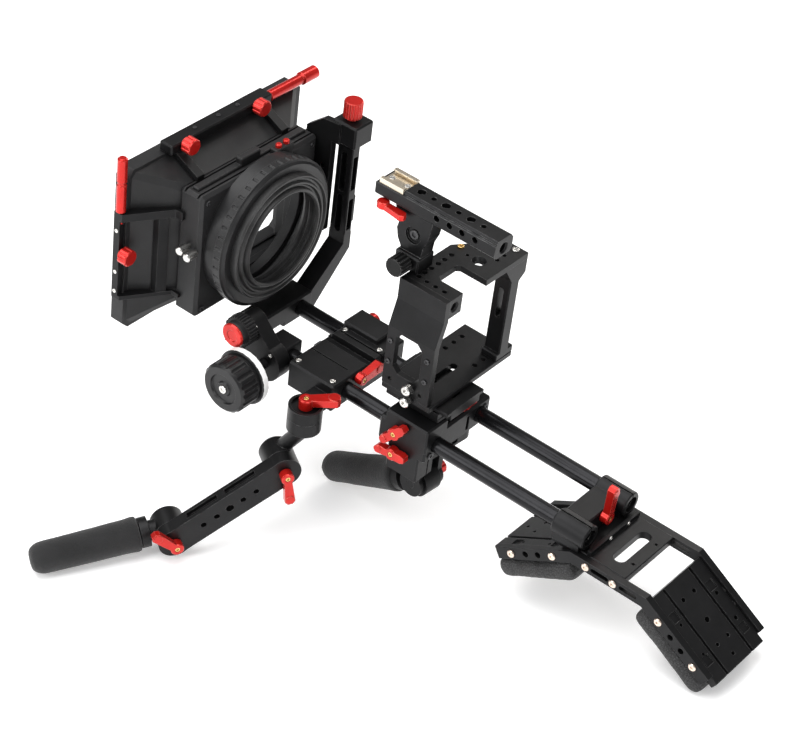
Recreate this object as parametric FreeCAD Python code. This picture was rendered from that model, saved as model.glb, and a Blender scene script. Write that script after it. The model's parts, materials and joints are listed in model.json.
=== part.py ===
import FreeCAD, Part
import math
import os

# Shoulder camera rig on two 15 mm rods.  Everything is drawn in the rig's own level frame:
# +X to the operator's right, +Y forward, +Z up, rods at z = 0, rear rod ends near y = 0.
# At the end the whole rig is pitched nose-up, so its rear pad and its grips stand on z = 0.
V = FreeCAD.Vector

# ---- overall layout ----
PITCH = 8.5              # how far the parked rig tips nose-up
ROD_R = 7.5              # 15 mm rods
ROD_BORE_R = 5.1         # tapping size of the threaded rod ends
TAP_SMALL_R = 2.55       # tapping size of a 1/4 inch screw
TAP_LARGE_R = 4.0        # tapping size of a 3/8 inch screw
ROD_X = 30.0             # half of the 60 mm rod spacing
ROD_REAR_Y = -30.0
ROD_LENGTH = 400.0
SLIDE_GAP = 0.05         # radial gap of a clamp on a rod
TURN_GAP = 0.05          # radial gap of a pin in its hole
FACE_GAP = 0.3           # gap between faces that move past each other
LENS_Z = 91.0            # height of the lens axis over the rods

# ---- shoulder mount ----
SH_HALF = 43.0           # half width over the side rails
SH_RAIL_T = 7.0
SH_RAIL_H = 11.0
SH_Z = -18.5             # height of the rails' middle line
SH_FLAT_FRONT = -25.0
SH_FLAT_REAR = -100.0
SH_WING = 82.0           # length of each sloping wing
SH_SLOPE = 31.0
SH_CLAMP_Y0 = -33.0
SH_CLAMP_Y1 = 0.0
SH_CLAMP_FLOOR = -12.5
PLATE_T = 8.0
PLATE_LENGTH = 90.0
PAD_T = 22.0
PAD_LENGTH = 88.0

# ---- base clamp, quick release, cage ----
BASE_Y0 = 132.0
BASE_Y1 = 184.0
BASE_HALF = 46.0
BASE_TOP = 12.0
QR_TOP = 26.0
ROD_LEVER_X = 16.0
ROD_LEVER_Y = 138.5
QR_PLATE_TOP = 36.0
CAGE_FLOOR = 6.0
CAGE_LEFT = -40.0
CAGE_RIGHT = 77.0
CAGE_REAR = 138.0
CAGE_FRONT = 191.0
CAGE_TOP = 149.0
CAGE_WALL = 6.0
CAGE_ARM_T = 19.0        # thickness of the cage's left top arm
CAGE_ARM_X0 = -32.6      # outer edge of that arm; the cheek leans in to it
CAGE_ARM_X1 = -10.6
CAGE_ARM_REAR = 140.7
CAGE_OPEN_X1 = 18.5      # right edge and front edge of the opening in the top plate
CAGE_OPEN_Y1 = 168.8
CAGE_THREADS_X = (-3.0, 6.4, 15.1, 24.8)   # 1/4 inch holes along the front rail
CAGE_THREADS_Y = 181.0

# ---- top handle ----
BAR_X0 = -20.5
BAR_X1 = 3.5
BAR_Y0 = 110.0
BAR_Y1 = 236.0
BAR_Z0 = 204.0
BAR_Z1 = 221.0
BAR_HOLES_Y = (197.0, 184.0, 171.0, 158.0, 145.0, 132.0)   # 3/8 and 1/4 inch holes in turn
SHOE_Y0 = 208.0
SHOE_Y1 = 233.0
POST_KNOB_Y = 196.0       # the knob that clamps the handle post's foot
SHOE_SINK = 3.5          # how deep the accessory shoe is let into the bar

# ---- matte box ----
RIM_HALF = 112.0
RIM_Z0 = -2.0
RIM_Z1 = 168.0
RIM_Y0 = 430.0
RIM_Y1 = 444.0
FLAG_Z0 = 37.0           # side flag bracket, bottom and top
FLAG_Z1 = 129.0
FLAG_OUT = -120.0        # its outer face
FLAG_FRONT = 437.0
TOP_PIN_Y = 427.0
TOP_PIN_Z = 172.8
SIDE_PIN_X = -117.0
SIDE_PIN_Y = 432.0
STAGE_HALF = 76.0
STAGE_Z0 = 22.0
STAGE_Z1 = 152.0
STAGE_Y0 = 376.0
STAGE_Y1 = 402.0
TRAY_Y0 = 386.0
TRAY_Y1 = 393.0
RING_R = 72.5
RING_HOLE_R = 61.0
RING_Y0 = 352.0
DONUT_HOLE_R = 45.0
DONUT_Y0 = 343.0
SWING_X = 90.0           # the upright hinge of the swing-away arm
SWING_Y = 350.5
POST_TOP = 152.0
SWING_TOP = 175.0        # top of the swing hinge block
MATTE_CLAMP_Y0 = 341.0
MATTE_CLAMP_Y1 = 366.0

# ---- follow focus ----
FOCUS_Y = 310.0
FOCUS_Z = -1.0
FOCUS_KNOB_R = 24.0
GEAR_Y = 333.0
GEAR_Z = 27.0
GEAR_R = 15.0
GEAR_TEETH = 30

# ---- front clamp and handles ----
FRONT_Y0 = 234.0
FRONT_Y1 = 286.0
FRONT_HALF = 50.0
SWIVEL_X = -75.0
SWIVEL_Y = 243.0
SWIVEL_R = 15.5
SWIVEL_TOP = 3.0
ELBOW = V(-85.0, 257.0, -66.0)
HANDLE_YAW = 58.0        # left handle's upright plane, turned from +Y towards -X
ARM_LENGTH = 117.0
ARM_DROP = 34.0
ARM_W = 29.0
ARM_T = 13.0
GRIP_LENGTH = 127.0
GRIP_DROP = 8.0
FOAM_R = 16.0
GRIP_TUBE_R = 9.0
WRIST_R = V(-3.0, 160.0, -72.0)
HANGER_TOP = -32.0       # top face of the slotted bar that carries the right grip
HANGER_BOLT_N = 44.0     # its pivot bolt, measured along the grip axle
RIGHT_YAW = -4.5
RIGHT_DROP = 29.0
EYE_R = 15.0


# ---------------------------------------------------------------- shape helpers
def box(x0, x1, y0, y1, z0, z1):
    return Part.makeBox(x1 - x0, y1 - y0, z1 - z0, V(x0, y0, z0))


def block(x0, x1, y0, y1, z0, z1, bevel=1.0):
    """A box with all its edges broken by a small bevel."""
    solid = box(x0, x1, y0, y1, z0, z1)
    return solid.makeChamfer(bevel, solid.Edges)


def cyl(x, y, z, radius, length, axis):
    return Part.makeCylinder(radius, length, V(x, y, z), axis)


def cyl_x(x0, x1, y, z, radius):
    return cyl(x0, y, z, radius, x1 - x0, V(1, 0, 0))


def cyl_y(x, y0, y1, z, radius):
    return cyl(x, y0, z, radius, y1 - y0, V(0, 1, 0))


def cyl_z(x, y, z0, z1, radius):
    return cyl(x, y, z0, radius, z1 - z0, V(0, 0, 1))


def turned(start, axis, profile):
    """Revolve (along, radius) points about the line from start along axis."""
    pts = [V(r, 0, a) for a, r in profile]
    face = Part.Face(Part.makePolygon(pts + [pts[0]]))
    solid = face.revolve(V(0, 0, 0), V(0, 0, 1), 360)
    solid.Placement = FreeCAD.Placement(start, FreeCAD.Rotation(V(0, 0, 1), axis)).multiply(solid.Placement)
    return solid


def prism_x(points, x0, x1):
    """Extrude a (y, z) outline from x0 to x1."""
    pts = [V(x0, y, z) for y, z in points]
    return Part.Face(Part.makePolygon(pts + [pts[0]])).extrude(V(x1 - x0, 0, 0))


def prism_y(points, y0, y1):
    """Extrude an (x, z) outline from y0 to y1."""
    pts = [V(x, y0, z) for x, z in points]
    return Part.Face(Part.makePolygon(pts + [pts[0]])).extrude(V(0, y1 - y0, 0))


def prism_z(points, z0, z1):
    """Extrude an (x, y) outline from z0 to z1."""
    pts = [V(x, y, z0) for x, y in points]
    return Part.Face(Part.makePolygon(pts + [pts[0]])).extrude(V(0, 0, z1 - z0))


def slot_z(x0, x1, y, width, z0, z1):
    """A round-ended cutter along X, upright."""
    r = width / 2
    return fuse([box(x0 + r, x1 - r, y - r, y + r, z0, z1), cyl_z(x0 + r, y, z0, z1, r),
                 cyl_z(x1 - r, y, z0, z1, r)])


def fuse(shapes):
    first = shapes[0]
    return first.multiFuse(shapes[1:]).removeSplitter() if len(shapes) > 1 else first


def cut(shape, tools):
    return shape.cut(Part.makeCompound(tools)) if tools else shape


def group(shapes):
    return Part.makeCompound(shapes)


def local(shape, origin, x_axis, z_axis):
    """Move a shape drawn at the world origin so that its X and Z axes point the given ways."""
    out = shape.copy()
    turn = FreeCAD.Rotation(x_axis, V(0, 0, 0), z_axis, "ZXY")
    out.Placement = FreeCAD.Placement(origin, turn).multiply(out.Placement)
    return out


def band(line, half):
    """Outline of a strip of constant width along a bent line of (y, z) points."""
    left, right = [], []
    for i, (y, z) in enumerate(line):
        before = line[max(i - 1, 0)]
        after = line[min(i + 1, len(line) - 1)]
        d1 = unit(y - before[0], z - before[1]) if i > 0 else unit(after[0] - y, after[1] - z)
        d2 = unit(after[0] - y, after[1] - z) if i < len(line) - 1 else d1
        n = unit(-d1[1] - d2[1], d1[0] + d2[0])
        reach = half / (n[0] * -d1[1] + n[1] * d1[0])
        left.append((y + n[0] * reach, z + n[1] * reach))
        right.append((y - n[0] * reach, z - n[1] * reach))
    return left + right[::-1]


def unit(a, b):
    size = math.hypot(a, b)
    return (a / size, b / size)


def rod_holes(y0, y1):
    """Cutters for the two rods through a clamp."""
    return [cyl_y(s * ROD_X, y0 - 1, y1 + 1, 0, ROD_R + SLIDE_GAP) for s in (-1, 1)]


def ratchet_lever(reach, hub_r=6.0, hub_h=8.0, width=8.5, thick=7.0):
    """A red clamp lever: its hub turns about +Z at the origin and its arm points along +X."""
    hub = turned(V(0, 0, 0), V(0, 0, 1), [(0, 0), (0, hub_r - 0.6), (0.8, hub_r), (hub_h - 0.8, hub_r),
                                          (hub_h, hub_r - 0.8), (hub_h, 0)])
    z0 = hub_h - thick
    arm = prism_z([(0, -width * 0.36), (reach - 3, -width / 2), (reach, -width / 2 + 2.5),
                   (reach, width / 2 - 2.5), (reach - 3, width / 2), (0, width * 0.36)], z0, hub_h)
    arm = arm.fuse(cyl_z(reach * 0.82, 0, z0, hub_h + 0.8, width / 2 - 0.6))
    lever = hub.fuse(arm).removeSplitter()
    return lever.cut(cyl_z(0, 0, hub_h - 2.0, hub_h + 2, 2.6))


def thumb_knob(radius, length, flutes=10):
    """A fluted knob along +Z, its foot at the origin."""
    body = turned(V(0, 0, 0), V(0, 0, 1), [(0, 0), (0, radius * 0.6), (2.0, radius * 0.6), (2.6, radius),
                                           (length - 1, radius), (length, radius - 1), (length, 0)])
    cutters = []
    for i in range(flutes):
        a = 2 * math.pi * i / flutes
        cutters.append(cyl_z((radius + 0.9) * math.cos(a), (radius + 0.9) * math.sin(a), 2.2, length + 1,
                             1.7))
    return cut(body, cutters)


# ---------------------------------------------------------------- rods
def rod(side):
    outer = turned(V(side * ROD_X, ROD_REAR_Y, 0), V(0, 1, 0),
                   [(0, 0), (0, ROD_R - 0.8), (0.8, ROD_R), (ROD_LENGTH - 0.8, ROD_R), (ROD_LENGTH,
                                                                                        ROD_R - 0.8),
                    (ROD_LENGTH, 0)])
    return outer.cut(cyl_y(side * ROD_X, ROD_REAR_Y - 1, ROD_REAR_Y + ROD_LENGTH + 1, 0, ROD_BORE_R))


# ---------------------------------------------------------------- shoulder mount
def wing_end(sign, length):
    """Point at a distance down the front (+1) or rear (-1) wing, on the rails' middle line."""
    start = SH_FLAT_FRONT if sign > 0 else SH_FLAT_REAR
    a = math.radians(SH_SLOPE)
    return (start + sign * length * math.cos(a), SH_Z - length * math.sin(a))


def wing_frame(sign, shape):
    """Carry a shape drawn along +Y from a wing's top (z = 0 on the middle line) onto that wing."""
    out = shape.copy()
    if sign < 0:
        out = out.mirror(V(0, 0, 0), V(0, 1, 0))
    out.rotate(V(0, 0, 0), V(1, 0, 0), -sign * SH_SLOPE)
    out.translate(V(0, SH_FLAT_FRONT if sign > 0 else SH_FLAT_REAR, SH_Z))
    return out


def shoulder_rails():
    line = [wing_end(1, SH_WING), (SH_FLAT_FRONT, SH_Z), (SH_FLAT_REAR, SH_Z), wing_end(-1, SH_WING)]
    rails = []
    for side in (-1, 1):
        x0 = side * SH_HALF if side < 0 else SH_HALF - SH_RAIL_T
        rail = prism_x(band(line, SH_RAIL_H / 2), x0, x0 + SH_RAIL_T)
        cutters = []
        for y in (-84.0, -55.0):
            cutters.append(fuse([box(x0 - 1, x0 + SH_RAIL_T + 1, y - 7, y + 7, SH_Z - 2.2, SH_Z + 2.2),
                                 cyl_x(x0 - 1, x0 + SH_RAIL_T + 1, y - 7, SH_Z, 2.2),
                                 cyl_x(x0 - 1, x0 + SH_RAIL_T + 1, y + 7, SH_Z, 2.2)]))
        for sign in (-1, 1):
            for s in (36.0, 50.0):
                y, z = wing_end(sign, s)
                cutters.append(cyl_x(x0 - 1, x0 + SH_RAIL_T + 1, y, z, 3.0))
        rails.append(cut(rail, cutters))
    return group(rails)


def shoulder_screw_spots():
    return [wing_end(1, 66.0), wing_end(1, 20.0), (-41.0, SH_Z), (-69.0, SH_Z), wing_end(-1, 20.0),
            wing_end(-1, 66.0)]


def shoulder_screws():
    heads = []
    for side in (-1, 1):
        for y, z in shoulder_screw_spots():
            profile = [(0, 0), (0, 3.6), (1.0, 3.6), (1.6, 2.9), (1.6, 1.5), (0.7, 1.5), (0.7, 0)]
            heads.append(turned(V(side * SH_HALF, y, z), V(side, 0, 0), profile))
    return group(heads)


def shoulder_bridge():
    """Cross plate between the rails, under the rod clamp, with its belt slot."""
    inner = SH_HALF - SH_RAIL_T
    top = SH_CLAMP_FLOOR
    plate = block(-inner, inner, -76.0, -0.5, top - 7.5, top, 0.6)
    cutters = [slot_z(-24.0, 24.0, -58.0, 12.0, top - 9, top + 1)]
    for x in (-17.0, 17.0):
        cutters.append(cyl_z(x, -70.5, top - 9, top + 1, 1.6))
    wall = box(-inner, inner, -40.0, -36.5, top - 7.0, top + 5.0)
    return cut(plate.fuse(wall).removeSplitter(), cutters)


def shoulder_clamp():
    y0, y1 = SH_CLAMP_Y0, SH_CLAMP_Y1
    parts = [block(-24.0, 24.0, y0 + 9, y1, SH_CLAMP_FLOOR, 7.0, 1.0)]
    for side in (-1, 1):
        parts.append(turned(V(side * ROD_X, y0, 0), V(0, 1, 0),
                            [(0, 0), (0, 10.6), (1, 11.6), (y1 - y0 - 1, 11.6), (y1 - y0, 10.6), (y1 - y0,
                                                                                                  0)]))
        x0, x1 = sorted((side * 20.0, side * 40.0))
        parts.append(box(x0, x1, y0 + 4, y1 - 1, SH_CLAMP_FLOOR, -4.0))
    body = fuse(parts)
    cutters = rod_holes(y0, y1)
    cutters += [box(s * ROD_X - 0.8, s * ROD_X + 0.8, y0 - 1, y1 + 1, 5, 14) for s in (-1, 1)]
    return cut(body, cutters)


def shoulder_lever():
    lever = ratchet_lever(33.0)
    return local(lever, V(0.0, SH_CLAMP_Y0 + 9 - FACE_GAP, 2.0), V(0.05, 0, 1), V(0, -1, 0))


def pad_plate(sign):
    """Grooved adapter plate of one pad, drawn flat and then laid on its wing."""
    inner = SH_HALF - SH_RAIL_T
    z0 = -SH_RAIL_H / 2
    plate = block(-inner, inner, 0, PLATE_LENGTH, z0, z0 + PLATE_T, 0.5)
    top = z0 + PLATE_T
    cutters = []
    for x in (-19.0, 19.0):
        cutters.append(box(x - 1.6, x + 1.6, 3.0, PLATE_LENGTH + 1, top - 3.0, top + 1))
    for x, y, r in ((-8, 20, 2.2), (8, 20, 2.2), (0, 45, 2.6), (-8, 66, 1.8), (8, 66, 1.8), (-27, 34, 1.6),
                    (-27, 64, 1.6), (27, 34, 2.0), (27, 60, 2.0), (0, 80, 1.8)):
        cutters.append(cyl_z(x, y, z0 - 1, top + 1, r))
    for y in (26.0, 70.0):
        cutters.append(box(-32.0, -23.0, y - 4.5, y + 4.5, top - 1.2, top + 1))
        cutters.append(box(23.0, 32.0, y - 4.5, y + 4.5, top - 1.2, top + 1))
    start = 10.0 if sign > 0 else 2.0
    plate = cut(plate, cutters)
    plate = plate.common(box(-60, 60, start, 200, -50, 50))
    return wing_frame(sign, plate)


def pad_plates():
    return group([pad_plate(1), pad_plate(-1)])


def shoulder_pad(sign):
    half = SH_HALF
    top = -SH_RAIL_H / 2
    start = 4.0
    end = PAD_LENGTH
    c = 6.0
    outline = [(start + 1.5, top), (end - 1.5, top), (end, top - 3), (end, top - PAD_T + c), (end - c,
                                                                                              top - PAD_T),
               (start + c, top - PAD_T), (start, top - PAD_T + c), (start, top - 3)]
    pad = prism_x(outline, -half, half)
    side = [(-half + 2, top), (half - 2, top), (half, top - 3), (half, top - PAD_T + 5), (half - 5,
                                                                                          top - PAD_T),
            (-half + 5, top - PAD_T), (-half, top - PAD_T + 5), (-half, top - 3)]
    pad = pad.common(prism_y(side, start - 1, end + 1))
    return wing_frame(sign, pad)


# ---------------------------------------------------------------- base clamp and quick release
def hanger_point(n, t=0.0):
    """Point over the right wrist: n along its axle, t forward."""
    a = math.radians(RIGHT_YAW)
    return (WRIST_R.x + n * math.cos(a) - t * math.sin(a), WRIST_R.y + n * math.sin(a) + t * math.cos(a))


def base_clamp():
    y0, y1 = BASE_Y0, BASE_Y1
    body = block(-BASE_HALF, BASE_HALF, y0, y1, -14.0, BASE_TOP, 2.0)
    left = block(-BASE_HALF, -16.0, y0, y1 - 6, -4.0, 21.5, 1.5)
    jaw = block(-BASE_HALF, -22.0, y0 + 6, y1 - 12, -40.0, -10.0, 1.5)
    bx, by = hanger_point(HANGER_BOLT_N)
    boss = cyl_z(bx, by, HANGER_TOP + FACE_GAP, -10.0, 9.0)
    body = fuse([body, left, jaw, boss])
    cutters = rod_holes(y0, y1)
    cutters.append(box(-ROD_X - 0.9, -ROD_X + 0.9, y0 - 1, y1 + 1, -41.0, 0))
    cutters.append(box(12.0, 16.0, y0 - 1, y0 + 5, -9.0, 6.0))
    cutters.append(slot_z(-10.0, 14.0, y0 + 26, 12.0, -15, BASE_TOP + 1))
    return cut(body, cutters)


def base_lever(y, z, dy, dz):
    """Short two-ended clamp lever on the base clamp's left face, its longer arm pointing along (dy, dz)."""
    lever = ratchet_lever(17.0, 6.0, 8.0, 8.5, 7.0)
    tail = prism_z([(0, -4.0), (0, 4.0), (-11.0, 4.2), (-15.0, 2.4), (-15.0, -2.4), (-11.0, -4.2)], 1.0,
                   8.0)
    lever = lever.fuse(tail.cut(cyl_z(0, 0, 0, 9.0, 4.5))).removeSplitter()
    return local(lever, V(-BASE_HALF - FACE_GAP, y, z), V(0, dy, dz), V(-1, 0, 0))


def rod_lever():
    """Red paddle on the rear edge of the base clamp, beside the right rod."""
    hub = cyl_z(ROD_LEVER_X, ROD_LEVER_Y, BASE_TOP + FACE_GAP, BASE_TOP + 4.0, 5.0)
    paddle = block(ROD_LEVER_X - 10.5, ROD_LEVER_X + 10.5, ROD_LEVER_Y - 6.0, ROD_LEVER_Y + 6.0,
                   BASE_TOP + 2.0, QR_TOP - 4.6, 1.6)
    return hub.fuse(paddle).removeSplitter()


def qr_base():
    """Receiver with two dovetail rails for the sliding plate."""
    z0 = BASE_TOP
    body = block(-15.5, 23.0, BASE_Y0 + 22.5, BASE_Y1 - 1, z0, QR_TOP - 6, 1.0)
    floor = block(-30.0, 24.0, BASE_Y0 + 2, BASE_Y1 + 8, QR_TOP - 4.0, QR_TOP, 0.6)
    body = fuse([body, floor, box(-15, 22.5, BASE_Y0 + 23, BASE_Y1 - 1.5, QR_TOP - 8, QR_TOP - 2)])
    walls = []
    for x, side in ((-30.0, 1), (24.0, -1)):
        walls.append(prism_y([(x, QR_TOP - 2), (x + side * 7.0, QR_TOP - 2), (x + side * 7.0, QR_TOP),
                              (x + side * 3.4, QR_TOP + 5.5), (x,
                                                               QR_TOP + 5.5)], BASE_Y0 + 2.6, BASE_Y1 + 7.4))
    body = fuse([body] + walls)
    return cut(body, [slot_z(-10.0, 5.0, BASE_Y0 + 26, 8.0, z0 - 1, QR_TOP + 1)])


def qr_plate():
    """Sliding dovetail plate that carries the cage."""
    z0 = QR_TOP + FACE_GAP
    g = FACE_GAP
    tongue = box(-23.0 + g, 17.0 - g, BASE_Y0 - 6, BASE_Y1 + 14, z0, QR_PLATE_TOP)
    cap = block(-29.0, 23.0, BASE_Y0 - 6, BASE_Y1 + 14, QR_TOP + 5.5 + g, QR_PLATE_TOP, 0.8)
    plate = fuse([tongue, cap])
    holes = [slot_z(-9.0, 5.0, BASE_Y0 + 8, 6.6, z0 - 1, QR_PLATE_TOP + 1)]
    holes += [cyl_z(-3.0, y, z0 - 1, QR_PLATE_TOP + 1, 3.3) for y in (BASE_Y0 + 30, BASE_Y0 + 52)]
    return cut(plate, holes)


def qr_stop_screws():
    """Two bright thumb screws on the left of the plate and the cage."""
    out = []
    for x, y, z in ((CAGE_LEFT, 160.0, 39.5), (CAGE_LEFT, 160.0, 52.5)):
        head = turned(V(x, y, z), V(-1, 0, 0), [(0, 0), (0, 2.0), (2.0, 2.0), (2.4, 4.6), (7.4, 4.6), (8.2,
                                                                                                       3.8),
                                                (8.2, 2.0), (6.6, 2.0), (6.6, 0)])
        out.append(head)
    return group(out)


# ---------------------------------------------------------------- camera cage
def cage_bottom():
    z0 = QR_PLATE_TOP
    plate = block(CAGE_LEFT, CAGE_RIGHT, CAGE_REAR, CAGE_FRONT, z0, z0 + CAGE_FLOOR, 0.8)
    cutters = [slot_z(-15.0, 25.0, CAGE_REAR + 22, 7.0, z0 - 1, z0 + CAGE_FLOOR + 1)]
    for x in (36.0, 48.0, 60.0):
        cutters.append(cyl_z(x, CAGE_REAR + 10, z0 - 1, z0 + CAGE_FLOOR + 1, 2.6))
        cutters.append(cyl_z(x, CAGE_FRONT - 10, z0 - 1, z0 + CAGE_FLOOR + 1, 2.6))
    return cut(plate, cutters)


def cage_left_side():
    """Left cheek: upright below, leaning in above, with its big window."""
    zf = QR_PLATE_TOP + CAGE_FLOOR
    x = CAGE_LEFT
    w = CAGE_WALL
    top_x = CAGE_ARM_X0
    outline = [(x, zf), (x, 103.0), (top_x, 128.0), (top_x, CAGE_TOP), (top_x + w, CAGE_TOP), (top_x + w,
                                                                                               126.5),
               (x + w, 101.5), (x + w, zf)]
    side = prism_y(outline, CAGE_ARM_REAR, CAGE_FRONT)
    y0, y1 = CAGE_REAR + 15, CAGE_FRONT - 9
    z0, z1, c = zf + 16, 100.0, 6.0
    window = [(y0 + c, z0), (y1 - c, z0), (y1, z0 + c), (y1, z1 - c), (y1 - c, z1), (y0 + c, z1), (y0,
                                                                                                   z1 - c),
              (y0, z0 + c)]
    cutters = [prism_x(window, x - 2, x + w + 3)]
    cutters.append(cyl_x(x - 1, x + w + 1, CAGE_REAR + 12, zf + 7.0, 2.0))
    for y in (CAGE_REAR + 26, CAGE_FRONT - 8):
        cutters.append(cyl_x(x - 1, x + w + 1, y, zf + 7.0, 2.2))
    return cut(side, cutters)


def cage_top():
    """Top plate with its rear opening, its thick left arm and the runs of holes."""
    z0, z1 = CAGE_TOP - CAGE_WALL, CAGE_TOP
    x0, x1 = CAGE_ARM_X0 + CAGE_WALL, CAGE_ARM_X1
    outline = [(x0, CAGE_FRONT), (36.0, CAGE_FRONT), (CAGE_RIGHT - 2, 162.0), (CAGE_RIGHT, 158.0),
               (CAGE_RIGHT, CAGE_REAR), (CAGE_OPEN_X1, CAGE_REAR), (CAGE_OPEN_X1, CAGE_OPEN_Y1 - 3),
               (CAGE_OPEN_X1 - 3, CAGE_OPEN_Y1), (x1 + 4, CAGE_OPEN_Y1), (x1, CAGE_OPEN_Y1 - 5),
               (x1, CAGE_ARM_REAR), (x0, CAGE_ARM_REAR)]
    plate = prism_z(outline, z0, z1)
    arm = prism_z([(x0, CAGE_ARM_REAR), (x1, CAGE_ARM_REAR), (x1, 184.0), (x0, 184.0)], z1 - CAGE_ARM_T, z1)
    body = fuse([plate, arm])
    bore_x, bore_z = -20.4, z1 - 9.5
    cutters = [cyl_y(bore_x, CAGE_ARM_REAR - 1, 186.0, bore_z, 3.8),
               turned(V(bore_x, CAGE_ARM_REAR - 1, bore_z), V(0, 1, 0), [(0, 0), (0, 6.4), (3.2, 3.0), (3.2,
                                                                                                        0)])]
    for x in CAGE_THREADS_X:
        cutters.append(cyl_z(x, CAGE_THREADS_Y, z0 - 1, z1 + 1, TAP_SMALL_R))
    for x in (-19.6, -11.8):
        cutters.append(cyl_z(x, CAGE_THREADS_Y, z1 - 4.5, z1 + 1, TAP_SMALL_R))
    for y in (152.5, 162.2, 171.8):
        cutters.append(cyl_z(-20.6, y, z1 - 4, z1 + 1, 2.3))
    cutters.append(cyl_z(34.8, 171.7, z0 - 1, z1 + 1, 1.7))
    cutters.append(turned(V(35.6, 159.7, z1), V(0, 0, -1), [(-1, 0), (-1, 7.4), (3.0, 4.2), (7, 4.2), (7,
                                                                                                       0)]))
    for x in (48.0, 58.0):
        cutters.append(cyl_z(x, 150.0, z0 - 1, z1 + 1, 2.2))
    return cut(body, cutters)


def cage_right_side():
    """Right leg with its slot and its stepped head."""
    zf = QR_PLATE_TOP + CAGE_FLOOR
    x1 = CAGE_RIGHT
    y0, y1 = CAGE_REAR, CAGE_REAR + 17
    leg = block(x1 - 20, x1 - 7, y0, y1, zf, CAGE_TOP - CAGE_WALL, 1.0)
    head = prism_y([(x1 - 30, CAGE_TOP - CAGE_WALL), (x1 - 18, CAGE_TOP - 24), (x1 - 8, CAGE_TOP - 26),
                    (x1, CAGE_TOP - 20), (x1, CAGE_TOP - CAGE_WALL)], y0, y1)
    foot = block(x1 - 24, x1, y0, y1, zf, zf + 7, 0.8)
    slot_y, slot_r = y0 + 8.5, 2.5
    z0, z1 = CAGE_TOP - 62, CAGE_TOP - 35
    slot = fuse([box(x1 - 21, x1 + 1, slot_y - slot_r, slot_y + slot_r, z0, z1),
                 cyl_x(x1 - 21, x1 + 1, slot_y, z0, slot_r), cyl_x(x1 - 21, x1 + 1, slot_y, z1, slot_r)])
    return fuse([leg, head, foot]).cut(slot)


# ---------------------------------------------------------------- top handle
def handle_bar():
    xm = (BAR_X0 + BAR_X1) / 2
    h = BAR_Z1 - BAR_Z0
    c = 3.0
    outline = [(BAR_X0 + c, BAR_Z0), (BAR_X1 - c, BAR_Z0), (BAR_X1, BAR_Z0 + c), (BAR_X1, BAR_Z1 - 3.6),
               (BAR_X1 - 1.8, BAR_Z1 - 3.0), (BAR_X1 - 1.8, BAR_Z1 - 1.6), (BAR_X1 - 3.4, BAR_Z1),
               (BAR_X0 + 3.4, BAR_Z1), (BAR_X0 + 1.8, BAR_Z1 - 1.6), (BAR_X0 + 1.8, BAR_Z1 - 3.0),
               (BAR_X0, BAR_Z1 - 3.6), (BAR_X0, BAR_Z0 + c)]
    bar = prism_y(outline, BAR_Y0, BAR_Y1)
    cutters = [cyl_y(xm, BAR_Y0 - 1, BAR_Y0 + 16, BAR_Z0 + 7.2, 4.2),
               turned(V(xm, BAR_Y0 - 1, BAR_Z0 + 7.2), V(0, 1, 0), [(0, 0), (0, 6.6), (2.6, 4.0), (2.6,
                                                                                                   0)]),
               box(BAR_X0 - 1, BAR_X1 + 1, SHOE_Y0 - FACE_GAP, BAR_Y1 + 1, BAR_Z1 - SHOE_SINK, BAR_Z1 + 1)]
    for i, y in enumerate(BAR_HOLES_Y):
        cutters.append(cyl_z(xm, y, BAR_Z1 - 5.0, BAR_Z1 + 1, TAP_LARGE_R if i % 2 == 0 else TAP_SMALL_R))
    for y in (131.0, 144.5, 157.5, 171.0):
        cutters.append(cyl_x(BAR_X0 - 1, BAR_X0 + 5.0, y, BAR_Z0 + 9.5, 3.0))
        cutters.append(cyl_x(BAR_X1 - 5.0, BAR_X1 + 1, y, BAR_Z0 + 9.5, 3.0))
    return cut(bar, cutters)


def cold_shoe():
    """Bright channel let into the front of the bar."""
    x0, x1 = BAR_X0 + 1.0, BAR_X1 - 1.0
    z = BAR_Z1 - SHOE_SINK
    top = z + 5.0
    outline = [(x0, z), (x1, z), (x1, top), (x1 - 4.2, top), (x1 - 4.2, top - 1.5), (x1 - 1.7, top - 1.5),
               (x1 - 1.7, z + 1.5), (x0 + 1.7, z + 1.5), (x0 + 1.7, top - 1.5), (x0 + 4.2, top - 1.5),
               (x0 + 4.2, top), (x0, top)]
    return prism_y(outline, SHOE_Y0, SHOE_Y1)


def handle_post():
    """Waisted post from the bar down to the cage's front rail, with its clamp foot."""
    x0, x1 = BAR_X0 + 4.0, BAR_X1 - 4.0
    z1 = BAR_Z0
    z0 = CAGE_TOP
    outline = [(176.0, z1), (216.0, z1), (214.0, z1 - 8), (210.0, z1 - 13), (212.0, z1 - 22), (210.0,
                                                                                               z1 - 31),
               (206.0, z0 + 17), (206.0, z0), (184.0, z0), (184.0, z0 + 16), (183.0, z1 - 30), (179.0,
                                                                                                z1 - 20)]
    post = prism_x(outline, x0, x1)
    cutters = []
    for x in (x0 - 1, x1 - 2.5):
        cutters.append(cyl_x(x, x + 3.5, 194.5, z1 - 22, 8.0))
    foot = block(BAR_X0, BAR_X1 - 2, 183.0, 208.0, z0, z0 + 15.0, 1.2)
    post = fuse([cut(post, cutters), foot])
    return cut(post, [cyl_x(BAR_X0 - 1, BAR_X0 + 12, POST_KNOB_Y, z0 + 9.0, 3.0 + TURN_GAP)])


def handle_knob():
    knob = thumb_knob(9.0, 16.0, 16)
    knob = knob.fuse(cyl_z(0, 0, -11.0, 1.0, 3.0)).removeSplitter()
    return local(knob, V(BAR_X0 - FACE_GAP, POST_KNOB_Y, CAGE_TOP + 9.0), V(0, 0, 1), V(-1, 0, 0))


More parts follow.
